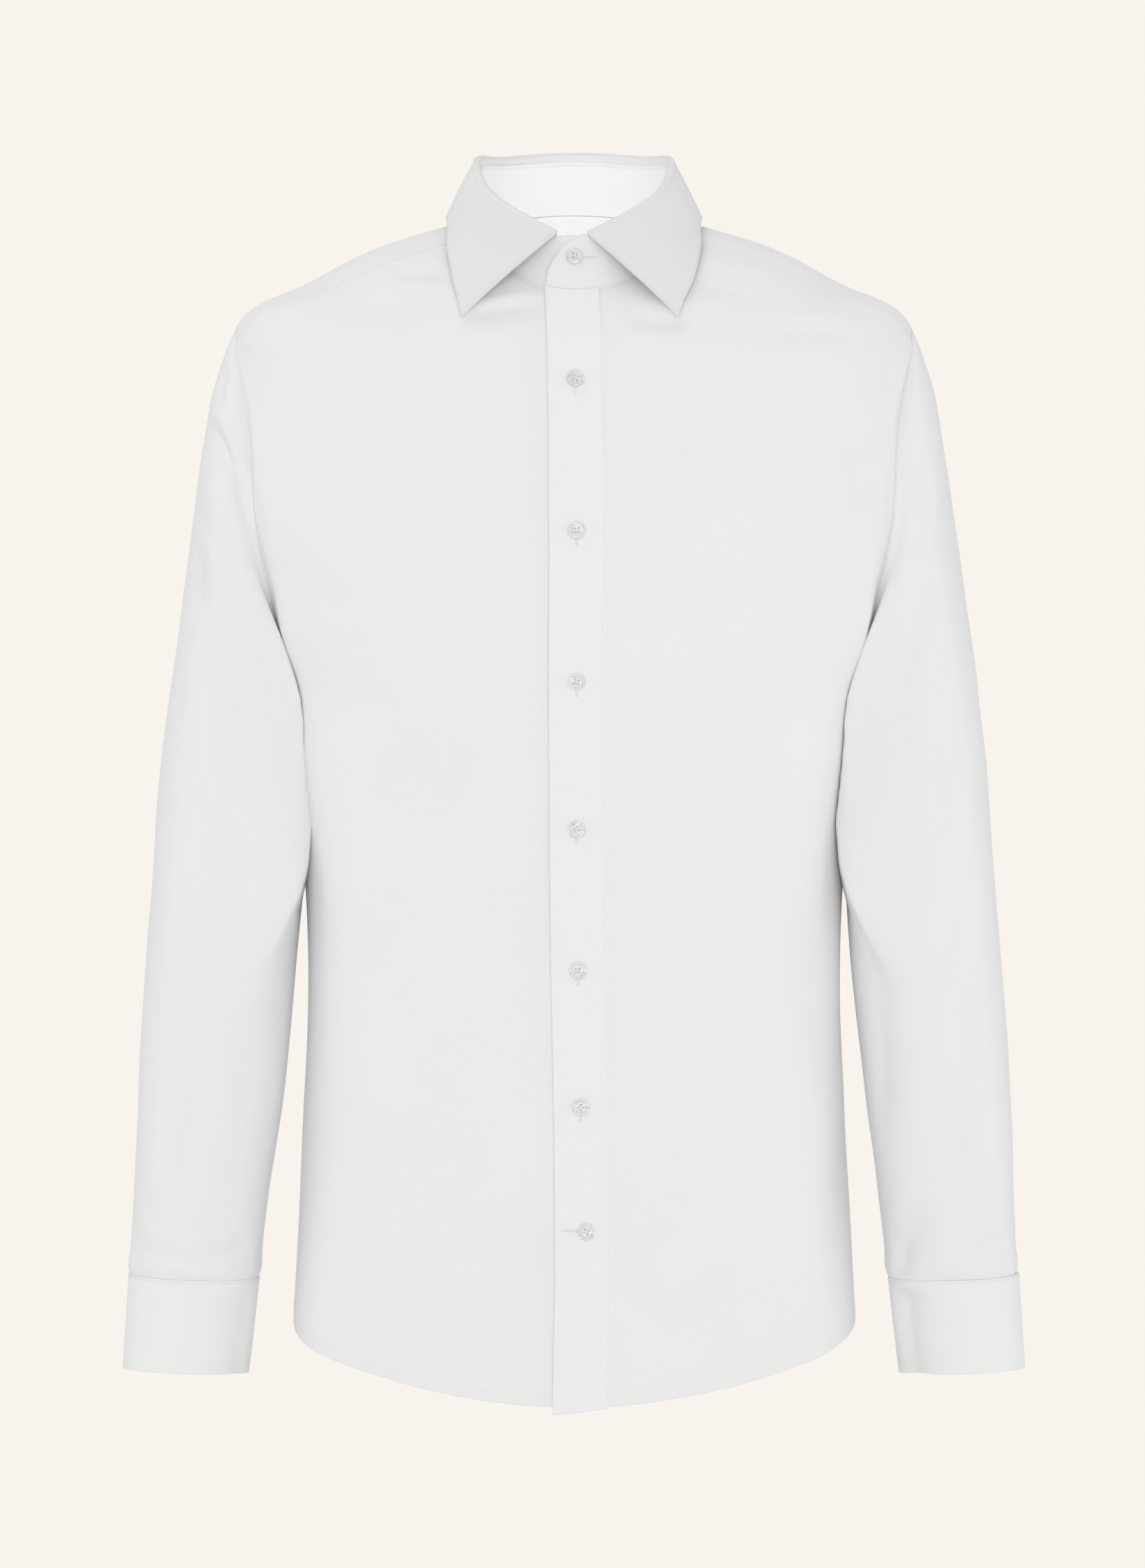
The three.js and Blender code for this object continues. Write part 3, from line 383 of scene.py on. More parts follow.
# ---------- sleeves as smooth forms
def ring_point(rows, turn, ring):
    turn, ring = np.broadcast_arrays(np.asarray(turn, float), np.asarray(ring, float))
    s, c = sin_cos(turn)
    get = lambda name: column(rows, name, ring)
    reach = roundness(s, c, get("square"))
    mx, mz = (get("x_out") + get("x_in")) / 2, (get("z_out") + get("z_in")) / 2
    ex, ez = (get("x_out") - get("x_in")) / 2, (get("z_out") - get("z_in")) / 2
    return points3(mx - ex * reach * c, get("y_mid") - get("half_deep") * reach * s, mz - ez * reach * c)


def sleeve_point(turn, ring):
    turn, ring = np.broadcast_arrays(np.asarray(turn, float), np.asarray(ring, float))
    start = body_point(armhole_angle(turn), armhole_ring(turn))
    blend = 1 - ease(0, 2.6, ring)
    return ring_point(SLEEVE, turn, ring) + (start - ring_point(SLEEVE, turn, 0)) * blend[..., None]


def sleeve_normal(turn, ring):
    return -normal_of(sleeve_point, turn, np.clip(ring, 0.05, CUFF_SEAM - 0.02), 1, 0.02)


def cuff_point(turn, ring):
    point = ring_point(CUFF_RINGS, turn, ring)
    point[..., 2] += CUFF["lift"] * np.maximum(np.sin(np.radians(turn)), 0) * ring / 2
    return point


def cuff_normal(turn, ring):
    return -normal_of(cuff_point, turn, np.clip(ring, 0.05, 1.95), 1, 0.05)


# ---------- creases
def crease_depth(points, normals, hand=1):
    """How far each point sinks, from the crease table, fading where the cloth turns away."""
    x, z = points[..., 0] * hand, points[..., 2]
    depth = np.zeros(x.shape)
    for k in range(len(CREASES["side"])):
        side, x0, z0, x1, z1, left, right, deep = (CREASES[name][k] for name in CREASES)
        run_x, run_z = x1 - x0, z1 - z0
        long, wide = math.hypot(run_x, run_z), (left + right) / 2
        along = ((x - x0) * run_x + (z - z0) * run_z) / long
        wander = CREASE["wander"] * wide * np.sin(along / long * CREASE["bends"] + k)
        across = ((x - x0) * run_z - (z - z0) * run_x) / long + wander
        share = np.abs(np.where(across < 0, across / left, across / right))
        ends = between(along, (-wide, CREASE["ends"] * long), ((1 - CREASE["ends"]) * long, long + wide))
        trough = np.exp(-share ** CREASE["power"])
        ridge = CREASE["ridge"] * np.exp(-((share - 2) ** 2) / CREASE["ridge_wide"])
        depth += deep * ends * ease(*CREASE["facing"], normals[..., 1] * side) * (trough - ridge)
    return depth


def softness(points, name):
    """Slight unevenness of hanging cloth: long soft waves in mixed directions."""
    seed, amount = WAVES[name]
    rng = np.random.default_rng(seed)
    total = np.zeros(points.shape[:-1])
    for _ in range(WAVE["count"]):
        way = unit(rng.normal(size=3) * np.array([1, 1, WAVE["upright"]]))
        long = rng.uniform(*WAVE["long"])
        swell = points @ unit(rng.normal(size=3)) / rng.uniform(*WAVE["swell"])
        swell = swell + rng.uniform(0, WAVE["start"])
        phase = points @ way * 2 * math.pi / long + rng.uniform(0, WAVE["start"]) + np.sin(swell)
        total += np.sin(phase) * long / WAVE["long"][1]
    return total * amount


# ---------- pieces
def select_only(piece):
    bpy.ops.object.select_all(action="DESELECT")
    piece.select_set(True)
    bpy.context.view_layer.objects.active = piece


def smooth_shaded(piece, degrees=50):
    select_only(piece)
    bpy.ops.object.shade_smooth_by_angle(angle=math.radians(degrees))


def new_piece(name, mesh, material=None):
    """A piece made of a mesh, riding with the part."""
    piece = bpy.data.objects.new(name, mesh)
    bpy.context.collection.objects.link(piece)
    if material:
        mesh.materials.append(material)
    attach(piece, "root")
    return piece


SHEETS = {}  # each cloth piece's outer grid, normals and edge distances, for the sewing that lies on it
PIECES = {}  # the cloth pieces themselves


def quads(a):
    return np.stack([a[:-1, :-1], a[:-1, 1:], a[1:, 1:], a[1:, :-1]], -1).reshape(-1, 4)


def cloth_piece(name, grid, normals, inward, thick, material,
                stitched=UNSEWN, inside=UNSEWN, hand=1, closed=False):
    """A thin closed wall through a grid of points sunk inwards, with a UV map in metres of cloth.

    It stands for the CAD node of its name. The outer face's distance from its stitched edge, and the
    inner face's, are kept for the material. A hand of -1 mirrors it, and closed joins its two sides.
    """
    grid = grid - normals * np.asarray(inward, float)[..., None]
    rows, columns = grid.shape[:2]
    gaps = away_from_edges(grid)
    middle = gaps["left"][:, columns // 2:columns // 2 + 1]
    uv = np.stack([gaps["left"] - middle, gaps["first"]], -1) * MM
    points = np.concatenate([grid.reshape(-1, 3), (grid - normals * thick).reshape(-1, 3)]) * MM
    points[:, 0] *= hand
    index = np.arange(rows * columns).reshape(rows, columns)
    if closed:
        index = np.concatenate([index, index[:, :1]], 1)
        uv = np.concatenate([uv, uv[:, -1:] + (uv[:, -1:] - uv[:, -2:-1])], 1)
    uv_index = np.arange(index.size).reshape(index.shape)
    under = index + rows * columns
    faces = [quads(index), quads(under)[:, ::-1]]
    uv_faces = [quads(uv_index), quads(uv_index)[:, ::-1]]

    def rim(edge, flip):
        outer, inner, line = index[edge], under[edge], uv_index[edge]
        order = slice(None, None, -1 if flip else 1)
        faces.append(np.stack([outer[:-1], inner[:-1], inner[1:], outer[1:]], -1)[:, order])
        uv_faces.append(np.stack([line[:-1], line[:-1], line[1:], line[1:]], -1)[:, order])

    rim(0, False)
    rim(-1, True)
    if not closed:
        rim((slice(None), 0), True)
        rim((slice(None), -1), False)
    faces, uv_faces = np.concatenate(faces), np.concatenate(uv_faces)
    a, b, c, d = (points[faces[:, k]] for k in range(4))
    volume = np.einsum("ij,ij->i", a, np.cross(b, c)).sum() + np.einsum("ij,ij->i", a, np.cross(c, d)).sum()
    if volume < 0:
        faces, uv_faces = faces[:, ::-1], uv_faces[:, ::-1]
    mesh = bpy.data.meshes.new(name + "_cloth")
    mesh.from_pydata(points.tolist(), [], faces.tolist())
    layer = mesh.uv_layers.new(name="cloth")
    layer.data.foreach_set("uv", uv.reshape(-1, 2)[uv_faces.reshape(-1)].astype(np.float32).ravel())
    seam = mesh.attributes.new("seam_mm", "FLOAT", "POINT")
    reach = [np.broadcast_to(face, (rows, columns)).ravel() for face in (stitched, inside)]
    seam.data.foreach_set("value", np.concatenate(reach).astype(np.float32))
    piece = new_piece(name + "_cloth", mesh, material)
    smooth_shaded(piece)
    SHEETS[name] = (grid, normals, gaps)
    PIECES[name] = piece
    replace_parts(piece, name)


# ---------- materials
def set_inputs(tree, node, inputs):
    """Give a node's inputs numbers, or link them to the outputs of other nodes."""
    for name, value in inputs.items():
        if isinstance(value, bpy.types.NodeSocket):
            tree.links.new(value, node.inputs[name])
        else:
            node.inputs[name].default_value = value


def add_node(tree, kind, inputs=None, **settings):
    node = tree.nodes.new(kind)
    for name, value in settings.items():
        setattr(node, name, value)
    set_inputs(tree, node, inputs or {})
    return node


def math_node(tree, operation, *values):
    return add_node(tree, "ShaderNodeMath", dict(enumerate(values)), operation=operation).outputs[0]


def noise(tree, place, scale, **inputs):
    return add_node(tree, "ShaderNodeTexNoise", {"Vector": place, "Scale": scale, **inputs}).outputs[0]


def tone_ramp(tree, factor, low, high, places=(0, 1)):
    ramp = add_node(tree, "ShaderNodeValToRGB", {0: factor})
    for element, colour, place in zip(ramp.color_ramp.elements, (low, high), places):
        element.color, element.position = (*colour, 1), place
    return ramp.outputs[0]


def bump(tree, height, strength, distance, normal=None):
    inputs = {"Height": height, "Strength": strength, "Distance": distance}
    if normal:
        inputs["Normal"] = normal
    return add_node(tree, "ShaderNodeBump", inputs).outputs[0]


def new_group(name, inputs, outputs):
    """A node group with named inputs, each with its kind and usual value, and outputs that are numbers."""
    tree = bpy.data.node_groups.new(name, "ShaderNodeTree")
    for socket, kind, value in inputs:
        made = tree.interface.new_socket(name=socket, in_out="INPUT", socket_type=kind)
        if value is not None:
            made.default_value = value
    for socket in outputs:
        tree.interface.new_socket(name=socket, in_out="OUTPUT", socket_type="NodeSocketFloat")
    return tree, tree.nodes.new("NodeGroupInput").outputs, tree.nodes.new("NodeGroupOutput")


def new_material(name, inputs):
    """A material, its node tree and its shader, with the numbers that are the same all over it."""
    material = bpy.data.materials.new(name)
    material.use_nodes = True
    shader = material.node_tree.nodes["Principled BSDF"]
    set_inputs(material.node_tree, shader, inputs)
    return material, material.node_tree, shader


def weave_group():
    """Plain weave: crossing threads, their height, and how much they and soft clouds tint the cloth."""
    sockets = [("Cloth", "NodeSocketVector", None), ("Threads per metre", "NodeSocketFloat", 2600),
               ("Slub", "NodeSocketFloat", 0.25)]
    tree, into, out = new_group("plain_weave", sockets, ("Height", "Tint"))
    split = add_node(tree, "ShaderNodeSeparateXYZ", {0: into["Cloth"]}).outputs
    scale = math_node(tree, "MULTIPLY", into["Threads per metre"], math.pi)
    warp, weft = (math_node(tree, "SINE", math_node(tree, "MULTIPLY", split[k], scale)) for k in (0, 1))
    over = math_node(tree, "MULTIPLY", warp, weft)
    slub = math_node(tree, "MULTIPLY", noise(tree, into["Cloth"], 900, Detail=2), into["Slub"])
    cloud = noise(tree, into["Cloth"], 14, Detail=3)
    uneven = math_node(tree, "MULTIPLY_ADD", cloud, 0.03, -0.015)
    woven = math_node(tree, "MULTIPLY_ADD", math_node(tree, "MULTIPLY_ADD", over, 0.5, 0.5), 0.02, 0.98)
    set_inputs(tree, out, {
        "Height": math_node(tree, "ADD", math_node(tree, "MULTIPLY", over, 0.5), slub),
        "Tint": math_node(tree, "MULTIPLY", math_node(tree, "ADD", uneven, 1.0), woven)})
    return tree


def seam_group():
    """The sunk line that a row of stitches pulls into cloth, at one distance from an edge."""
    sockets = [("Distance", "NodeSocketFloat", None), ("Offset", "NodeSocketFloat", 5.5),
               ("Width", "NodeSocketFloat", 0.9)]
    tree, into, out = new_group("stitched_line", sockets, ("Height",))
    away = math_node(tree, "SUBTRACT", into["Distance"], into["Offset"])
    share = math_node(tree, "DIVIDE", away, into["Width"])
    square = math_node(tree, "MULTIPLY", share, share)
    bell = math_node(tree, "EXPONENT", math_node(tree, "MULTIPLY", square, -1))
    set_inputs(tree, out, {"Height": math_node(tree, "MULTIPLY", bell, -1)})
    return tree


WEAVE = weave_group()
STITCHED = seam_group()


def cotton(name, tone, offset, slub=0.25):
    """Fine white cotton, with its weave, a stitched line at an offset, and a soft unevenness of tone."""
    material, tree, shader = new_material(name, {
        "Roughness": 0.88, "Specular IOR Level": 0.25, "Sheen Weight": 0.12, "Sheen Roughness": 0.6})
    uv = add_node(tree, "ShaderNodeUVMap", uv_map="cloth").outputs[0]
    weave = add_node(tree, "ShaderNodeGroup", node_tree=WEAVE)
    set_inputs(tree, weave, {"Cloth": uv, "Slub": slub})
    seam = add_node(tree, "ShaderNodeAttribute", attribute_name="seam_mm").outputs["Fac"]
    line = add_node(tree, "ShaderNodeGroup", node_tree=STITCHED)
    set_inputs(tree, line, {"Distance": seam, "Offset": offset})
    fine = bump(tree, weave.outputs["Height"], 0.35, 0.00006)
    groove = bump(tree, line.outputs["Height"], 0.9, 0.00035, fine)
    colour = add_node(tree, "ShaderNodeMix", {
        6: (0, 0, 0, 1), 7: (tone, tone, tone, 1), 0: weave.outputs["Tint"]}, data_type="RGBA")
    set_inputs(tree, shader, {"Normal": groove, "Base Color": colour.outputs[2]})
    return material


def pearl():
    """Glossy pearly shell, with faint clouds and rings of tone."""
    material, tree, shader = new_material("pearl_button", {"Coat Weight": 0.6, "Coat Roughness": 0.08})
    place = add_node(tree, "ShaderNodeTexCoord").outputs["Object"]
    cloud = noise(tree, place, 420, Detail=4, Distortion=1.2)
    set_inputs(tree, shader, {
        "Base Color": tone_ramp(tree, cloud, (0.6,) * 3, (0.97,) * 3, (0.3, 0.7)),
        "Roughness": math_node(tree, "MULTIPLY_ADD", cloud, 0.15, 0.15)})
    return material


def sewing_thread():
    """White cotton thread with its twist."""
    material, tree, shader = new_material("sewing_thread", {"Roughness": 0.7})
    place = add_node(tree, "ShaderNodeTexCoord").outputs["Object"]
    twist = add_node(tree, "ShaderNodeTexWave", {"Scale": 900, "Vector": place}, bands_direction="DIAGONAL")
    set_inputs(tree, shader, {
        "Normal": bump(tree, twist.outputs[1], 0.4, 0.00008),
        "Base Color": tone_ramp(tree, twist.outputs[1], (0.79,) * 3, (0.88,) * 3)})
    return material


def pale_floor():
    """Pale painted floor with a faint unevenness."""
    material, tree, shader = new_material("pale_floor", {"Roughness": 0.9})
    cloud = noise(tree, add_node(tree, "ShaderNodeTexCoord").outputs["Object"], 3)
    colour = tone_ramp(tree, cloud, (0.79, 0.785, 0.778), (0.83, 0.825, 0.818))
    set_inputs(tree, shader, {"Base Color": colour})
    return material


COTTON = cotton("body_cotton", 0.9, 1.2)
STIFF = cotton("stiffened_cotton", 0.915, 5.5, slub=0.2)
# The collar's fall is the same white cotton painted darker (0.84 against 0.9): painted shade for leaves that
# turn away from the light.
FALL_PAINTED_SHADE = cotton("collar_cotton_painted_shade", 0.84, 5.5, slub=0.2)
PEARL = pearl()
SEWING = sewing_thread()


# ---------- body panels
def body_rings(is_front):
    """Rings from hem to top, a step apart, and closer where the armhole turns under the arm."""
    dense = np.linspace(0, NECK, 1301)
    run = run_along(body_point(40 if is_front else 150, dense))
    top = NECK if is_front else armhole_ring(ARMHOLE["yoke_back"])
    length = np.interp(top, dense, run)
    rings = np.interp(spaced(length, STEP) * length, run, dense)
    turns = [0, 2, 4, 6, 8, 10, 12.5, 15, 18, 21, 25, 29, 33, 37, 42] + [ARMHOLE["yoke_front"]] * is_front
    rings = np.sort(np.concatenate([rings, armhole_ring(np.array(turns))]))
    rings = rings[np.concatenate([[True], np.diff(rings) > 1e-4])]
    rings[-1] = top
    return rings


def front_panel(name, edge, sink, hand):
    rings = body_rings(True)[:, None]
    start, end = angle_at_x(edge(rings), rings), panel_end(rings, True)
    angle = start + (end - start) * spaced(*SPREAD["front"])[None, :]
    grid, normals, gaps = laid(body_point, body_normal, angle, rings)
    inward = sink(grid[..., 0]) + crease_depth(grid, normals, hand) * ease(0, FADE["crease"], gaps["right"])
    inward += softness(grid * [hand, 1, 1], "front") * ease(0, FADE["soft"], gaps["right"])
    sewn_edges = rolled(gaps["right"]) + rolled(gaps["last"])
    inward += rolled(gaps["first"]) + rolled(gaps["left"]) + 0.15 * sewn_edges
    grid = grid - normals * inward[..., None]
    fuller = ease(*SWELL_ZONE["body_z"], grid[..., 2]) * between(angle, *SWELL_ZONE["body"])
    grid[..., 1] -= SIDE_SWELL["body"] * fuller * ease(0, FADE["swell"], gaps["right"])
    cloth_piece(name, grid, normals, 0, CLOTH, COTTON, gaps["last"], hand=hand)


def fronts():
    front_panel("front_left", lambda ring: column(BODY, "edge", ring) + OVER_EDGE, lambda x: 0 * x, 1)
    step_in = lambda x: LAP * (1 - ease(*LAP_END, x))
    front_panel("front_right", lambda ring: -UNDER_FRONT + 0 * ring, step_in, -1)


def back_panel():
    rings = body_rings(False)[:, None]
    start = panel_end(rings, False)
    angle = start + (360 - 2 * start) * spaced(*SPREAD["back"])[None, :]
    grid, normals, gaps = laid(body_point, body_normal, angle, rings)
    inward = crease_depth(grid, normals) * ease(0, FADE["back"], gaps["last"]) + softness(grid, "back")
    inward = inward * ease(0, FADE["soft"], nearest(gaps, "left", "right"))
    sewn_edges = rolled(gaps["left"]) + rolled(gaps["right"]) + rolled(gaps["last"])
    inward += rolled(gaps["first"]) + 0.5 * sewn_edges
    cloth_piece("back", grid, normals, inward, CLOTH, COTTON, gaps["last"])


def front_strip():
    rings = body_rings(True)[:, None]
    shares = spaced(*SPREAD["strip"])[None, :]
    angle = angle_at_x(column(BODY, "edge", rings) + STRIP_WIDTH * shares, rings)
    grid, normals, gaps = laid(body_point, body_normal, angle, rings)
    inward = crease_depth(grid, normals) + softness(grid, "front")
    grid = grid + normals * (LIFT + STRIP - inward)[..., None]
    drop = STRIP_DROP[0] + (STRIP_DROP[1] - STRIP_DROP[0]) * shares
    grid[..., 2] -= drop * np.exp(-gaps["first"] / HEM["drop_fade"])
    gaps = away_from_edges(grid)
    wave = gaps["first"] / PUCKER["wave"] + PUCKER["drift"] * np.sin(gaps["first"] / PUCKER["drift_wave"])
    beside = nearest(gaps, "left", "right") - PUCKER["at"]
    pucker = PUCKER["deep"] * np.sin(wave) * np.exp(-(beside ** 2) / PUCKER["wide"])
    inward = rolled(gaps["first"]) + rolled(gaps["left"]) + rolled(gaps["right"]) + pucker
    cloth_piece("placket", grid, normals, inward, STRIP, STIFF)


def yoke():
    """The left half of the yoke, from the neck out to its seams, and the same half mirrored."""
    turns = np.arange(ARMHOLE["yoke_front"], ARMHOLE["yoke_back"] + 1, 2.5)
    back_ring, corner = armhole_ring(ARMHOLE["yoke_back"]), armhole_angle(ARMHOLE["yoke_back"])
    steps = np.linspace(0, 1, 70)[1:]
    outer_angle = np.concatenate([armhole_angle(turns), corner + (180 - corner) * steps])
    outer_ring = np.concatenate([armhole_ring(turns), back_ring + 0 * steps])
    inner_angle = np.linspace(panel_end(np.array(float(NECK)), True), 180, len(outer_angle))
    shares = spaced(*SPREAD["yoke"])[:, None]
    ring = NECK + (outer_ring - NECK) * shares
    angle = inner_angle + (outer_angle - inner_angle) * shares
    angle[:, 0] = np.interp(ring[:, 0], YOKE_SEAM["ring"], YOKE_SEAM["angle"])
    places = np.arange(len(outer_angle))
    fine = spaced(len(places), 1, fine=(0, 0.1, 0.3, 0.6, 1), ends=(True, False)) * places[-1]
    angle, ring = (np.stack([np.interp(fine, places, line) for line in rows]) for rows in (angle, ring))
    whole = lambda half: np.concatenate([half, (half * np.array([-1, 1, 1]))[:, -2::-1]], 1)
    grid, normals = whole(body_point(angle, ring)), whole(body_normal(angle, ring))
    edge = nearest(away_from_edges(grid), "left", "right", "first", "last")
    inward = softness(grid, "yoke") * ease(0, FADE["yoke"], edge) + 0.5 * rolled(edge)
    cloth_piece("yoke", grid, normals, inward, CLOTH, COTTON, edge)


# ---------- collar
def from_front(angle):
    return np.minimum(np.abs(angle), 360 - np.abs(angle))


def by_front(sizes, angle):
    return sizes[0] + (sizes[1] - sizes[0]) * ease(0, FRONT_ENDS, from_front(angle))


def fold_height(angle):
    share = np.hypot(np.sin(np.radians(angle) / 2), FOLD_LINE["flat"]) ** FOLD_LINE["power"]
    beside = (from_front(angle) - FOLD_LINE["side_at"]) / FOLD_LINE["side_wide"]
    return FOLD_LINE["low"] + FOLD_LINE["climb"] * share + FOLD_LINE["side"] * np.exp(-beside * beside)


def band_top(angle):
    s, c = sin_cos(angle)
    reach = roundness(s / TOP["wide"], c / np.where(c > 0, TOP["front"], TOP["back"]), TOP["square"])
    level = np.maximum(from_front(angle), LEAF_EDGE["fold"][0])
    return points3(reach * s, -reach * c, fold_height(level) - by_front(FOLD_RISE, angle))


def band_point(angle, rise):
    low = body_point(angle, float(NECK))
    return low + (band_top(angle) - low) * np.asarray(rise)[..., None]


def band_normal(angle, rise):
    return normal_of(band_point, angle, np.clip(rise, 0.05, 0.95), 0.5, 0.05)


def band_reach(angle):
    """Share of the band's height that is left where its two ends round off."""
    x = body_point(angle, float(NECK))[..., 0]

    def fall(ends):
        far = np.clip((x - ends[0]) / (ends[1] - ends[0]), 0, 1)
        return np.maximum(np.sqrt(1 - far * far), BAND_END["least"])

    reach = np.where(angle < 60, fall(BAND_END["over"]), 1.0)
    return np.where(angle > 300, fall(BAND_END["under"]), reach)


def collar_band():
    start = float(angle_at_x(BODY["edge"][-1] + OVER_EDGE, float(NECK)))
    end = 360 + float(angle_at_x(UNDER_FRONT, float(NECK)))
    angle = (start + (end - start) * spaced(*SPREAD["band_round"]))[None, :]
    rise = spaced(*SPREAD["band_up"])[:, None] * band_reach(angle)
    angle = np.broadcast_to(angle, rise.shape)
    grid, normals, gaps = laid(band_point, band_normal, angle, rise)
    step_in = np.where(angle > 270, LAP * (1 - ease(*LAP_END, -grid[..., 0])), 0)
    edge = nearest(gaps, "left", "right", "last")
    curl = BAND_END["curl"] * (1 - ease(0, 7, edge)) * (1 - ease(7, 12, grid[..., 0])) * (angle < 90)
    inward = step_in - curl + rolled(edge) + softness(grid, "collar_band")
    stitched = np.where(angle < 90, edge + 4, UNSEWN)
    cloth_piece("collar_band", grid, normals, inward, BAND, STIFF, stitched, gaps["last"] + 3.8)


def leaf_edge(fold):
    at = np.minimum(fold, 360 - fold)
    place = np.interp(at, LEAF_EDGE["fold"], np.arange(len(LEAF_EDGE["fold"])))
    angle, ring, off = (column(LEAF_EDGE, name, place) for name in ("angle", "ring", "off"))
    point = body_point(angle, ring) + body_normal(angle, ring) * (off + BAND)[..., None]
    point[..., 0] *= np.where(fold > 180, -1, 1)
    point[..., 0] += COLLAR_LEAN[0] * (1 - ease(0, COLLAR_LEAN[1], at))
    return point


def collar_leaf():
    """Rows up the inside of the fold, over it, and down the outside to the leaf's edge."""
    first = LEAF_EDGE["fold"][0]
    fold = first + (360 - 2 * first) * spaced(*SPREAD["leaf_round"])
    nearer = fold - np.where(fold < 180, LEAF_CLOSE[0] * (1 - ease(0, LEAF_CLOSE[1], fold)), 0)
    top = band_top(nearer)
    run = unit(band_top(nearer + 1) - band_top(nearer - 1))
    out = -unit(np.cross([0, 0, 1], run))
    up = np.cross(run, out)
    up = up * np.sign(up[:, 2:])
    roll = by_front(ROLL, fold)
    rise = np.maximum(by_front(FOLD_RISE, fold) - roll, LIFT)

    def row(outwards, upwards):
        return top + out * (outwards + 0 * fold)[..., None] + up * (upwards + 0 * fold)[..., None]

    inner = -BAND - LEAF["off"]
    rows = [row(inner, -LEAF["turn_in"]), row(inner, 0), row(-BAND, rise * 0.5)]
    for turn in np.radians(np.linspace(180, 0, 13)):
        rows.append(row(roll - BAND + roll * math.cos(turn), rise + 0.1 + roll * math.sin(turn)))
    start, edge = rows[-1], leaf_edge(fold)
    hang = np.linalg.norm(edge - start, axis=-1, keepdims=True)
    bulge = LEAF_BULGE[0] + (LEAF_BULGE[1] - LEAF_BULGE[0]) * ease(*LEAF_BULGE[2:], from_front(fold))
    bend = start * (1 - LEAF["hang"]) + edge * LEAF["hang"] + out * bulge[:, None] * hang
    for t in spaced(*SPREAD["leaf_down"], ends=(False, True))[1:]:
        rows.append(start * (1 - t) ** 2 + bend * 2 * t * (1 - t) + edge * t * t)
    grid = np.stack(rows)
    normals = unit(np.cross(np.gradient(grid, axis=0), np.gradient(grid, axis=1)))
    gaps = away_from_edges(grid)
    edge = nearest(gaps, "left", "right", "last")
    soft = softness(grid, "collar_leaf") * ease(0, FADE["leaf"], gaps["first"])
    inward = rolled(edge, LEAF["rim"]) + soft
    # The leaf's cotton is painted darker than the body's, as painted shade.
    cloth_piece("collar_leaf", grid, normals, inward, BAND, FALL_PAINTED_SHADE, edge + 4)


# ---------- sleeves and cuffs
def swell_to_body(grid, turn):
    """How far the inner front of a sleeve swells towards the body that it hangs against."""
    z = grid[..., 2]
    ring = np.interp(z, BODY["z_side"], np.arange(NECK + 1))
    get = lambda name: column(BODY, name, ring)
    forward = get("y_mid") - grid[..., 1] - SIDE_SWELL["body"]
    ahead = np.clip(forward / (get("y_mid") - get("y_front")), 0, 1)
    side = get("wide") * (1 - ahead ** get("square")) ** (1 / get("square"))
    inner = np.interp(z, SLEEVE["z_in"][::-1], SLEEVE["x_in"][::-1]) - np.interp(z, *SWELL_LIMIT)
    room = np.maximum(grid[..., 0] - np.maximum(side + SIDE_SWELL["apart"], inner), 0)
    share = between((turn + 180) % 360 - 180, *SWELL_ZONE["inner"])
    height = between(z, *SWELL_ZONE["inner_z"])
    return np.minimum(room, SIDE_SWELL["sleeve"]) * share * height


def sleeve(side, hand):
    dense = np.linspace(0, CUFF_SEAM, 1201)
    run = run_along(sleeve_point(180, dense))
    ring = np.interp(spaced(run[-1], STEP) * run[-1], run, dense)[:, None]
    turn = np.concatenate([np.arange(0, 120, 2), np.arange(120, 360, 3)])[None, :].astype(float)
    grid, normals, gaps = laid(sleeve_point, sleeve_normal, turn, ring)
    from_seams = ease(0, FADE["crease"], gaps["first"]) * ease(0, FADE["crease"], gaps["last"])
    inward = crease_depth(grid, normals, hand) * from_seams
    inward += softness(grid * [hand, 1, 1], "sleeve_" + side) * ease(0, FADE["sleeve_soft"], gaps["first"])
    above_cuff = lambda form: np.exp(-((gaps["last"] - form["at"]) ** 2) / form["wide"])
    gather = GATHER["deep"] * np.sin(np.radians(turn) * GATHER["folds"] + hand) * above_cuff(GATHER)
    puff = -PUFF["out"] * above_cuff(PUFF)
    inward += gather + puff + 0.15 * rolled(gaps["first"]) + 0.8 * np.exp(-gaps["last"] / FADE["puff_end"])
    grid = grid - normals * inward[..., None]
    apart = ease(0, FADE["sleeve_swell"], gaps["first"])
    fuller = between(turn, *SWELL_ZONE["outer"]) * (1 - ease(*SWELL_ZONE["outer_z"], grid[..., 2]))
    grid[..., 1] -= SIDE_SWELL["outer"] * fuller * apart
    grid[..., 0] -= swell_to_body(grid, turn) * apart
    cloth_piece("sleeve_" + side, grid, normals, 0, CLOTH, COTTON, gaps["first"], hand=hand, closed=True)


def cuff(side, hand):
    past = 360 * (1 + CUFF["lap"] / CUFF["around"]) * spaced(*SPREAD["cuff_round"])[None, :]
    ring = 2 * spaced(*SPREAD["cuff_down"])[:, None]
    grid, normals, gaps = laid(cuff_point, cuff_normal, CUFF["opening"] + past, ring)
    edge = nearest(gaps, "left", "right", "last")
    under = (BAND + LIFT) * ease(*LAP_UNDER, past)
    inward = under - CUFF["proud"] + rolled(edge, 0.8) + 0.6 * rolled(gaps["first"], 0.8)
    inward += softness(grid, "cuff")
    inward += crease_depth(grid, normals, hand) * ease(*FADE["cuff"], gaps["first"])
    cloth_piece("cuff_" + side, grid, normals, inward, BAND, STIFF, gaps["first"] + 4, hand=hand)


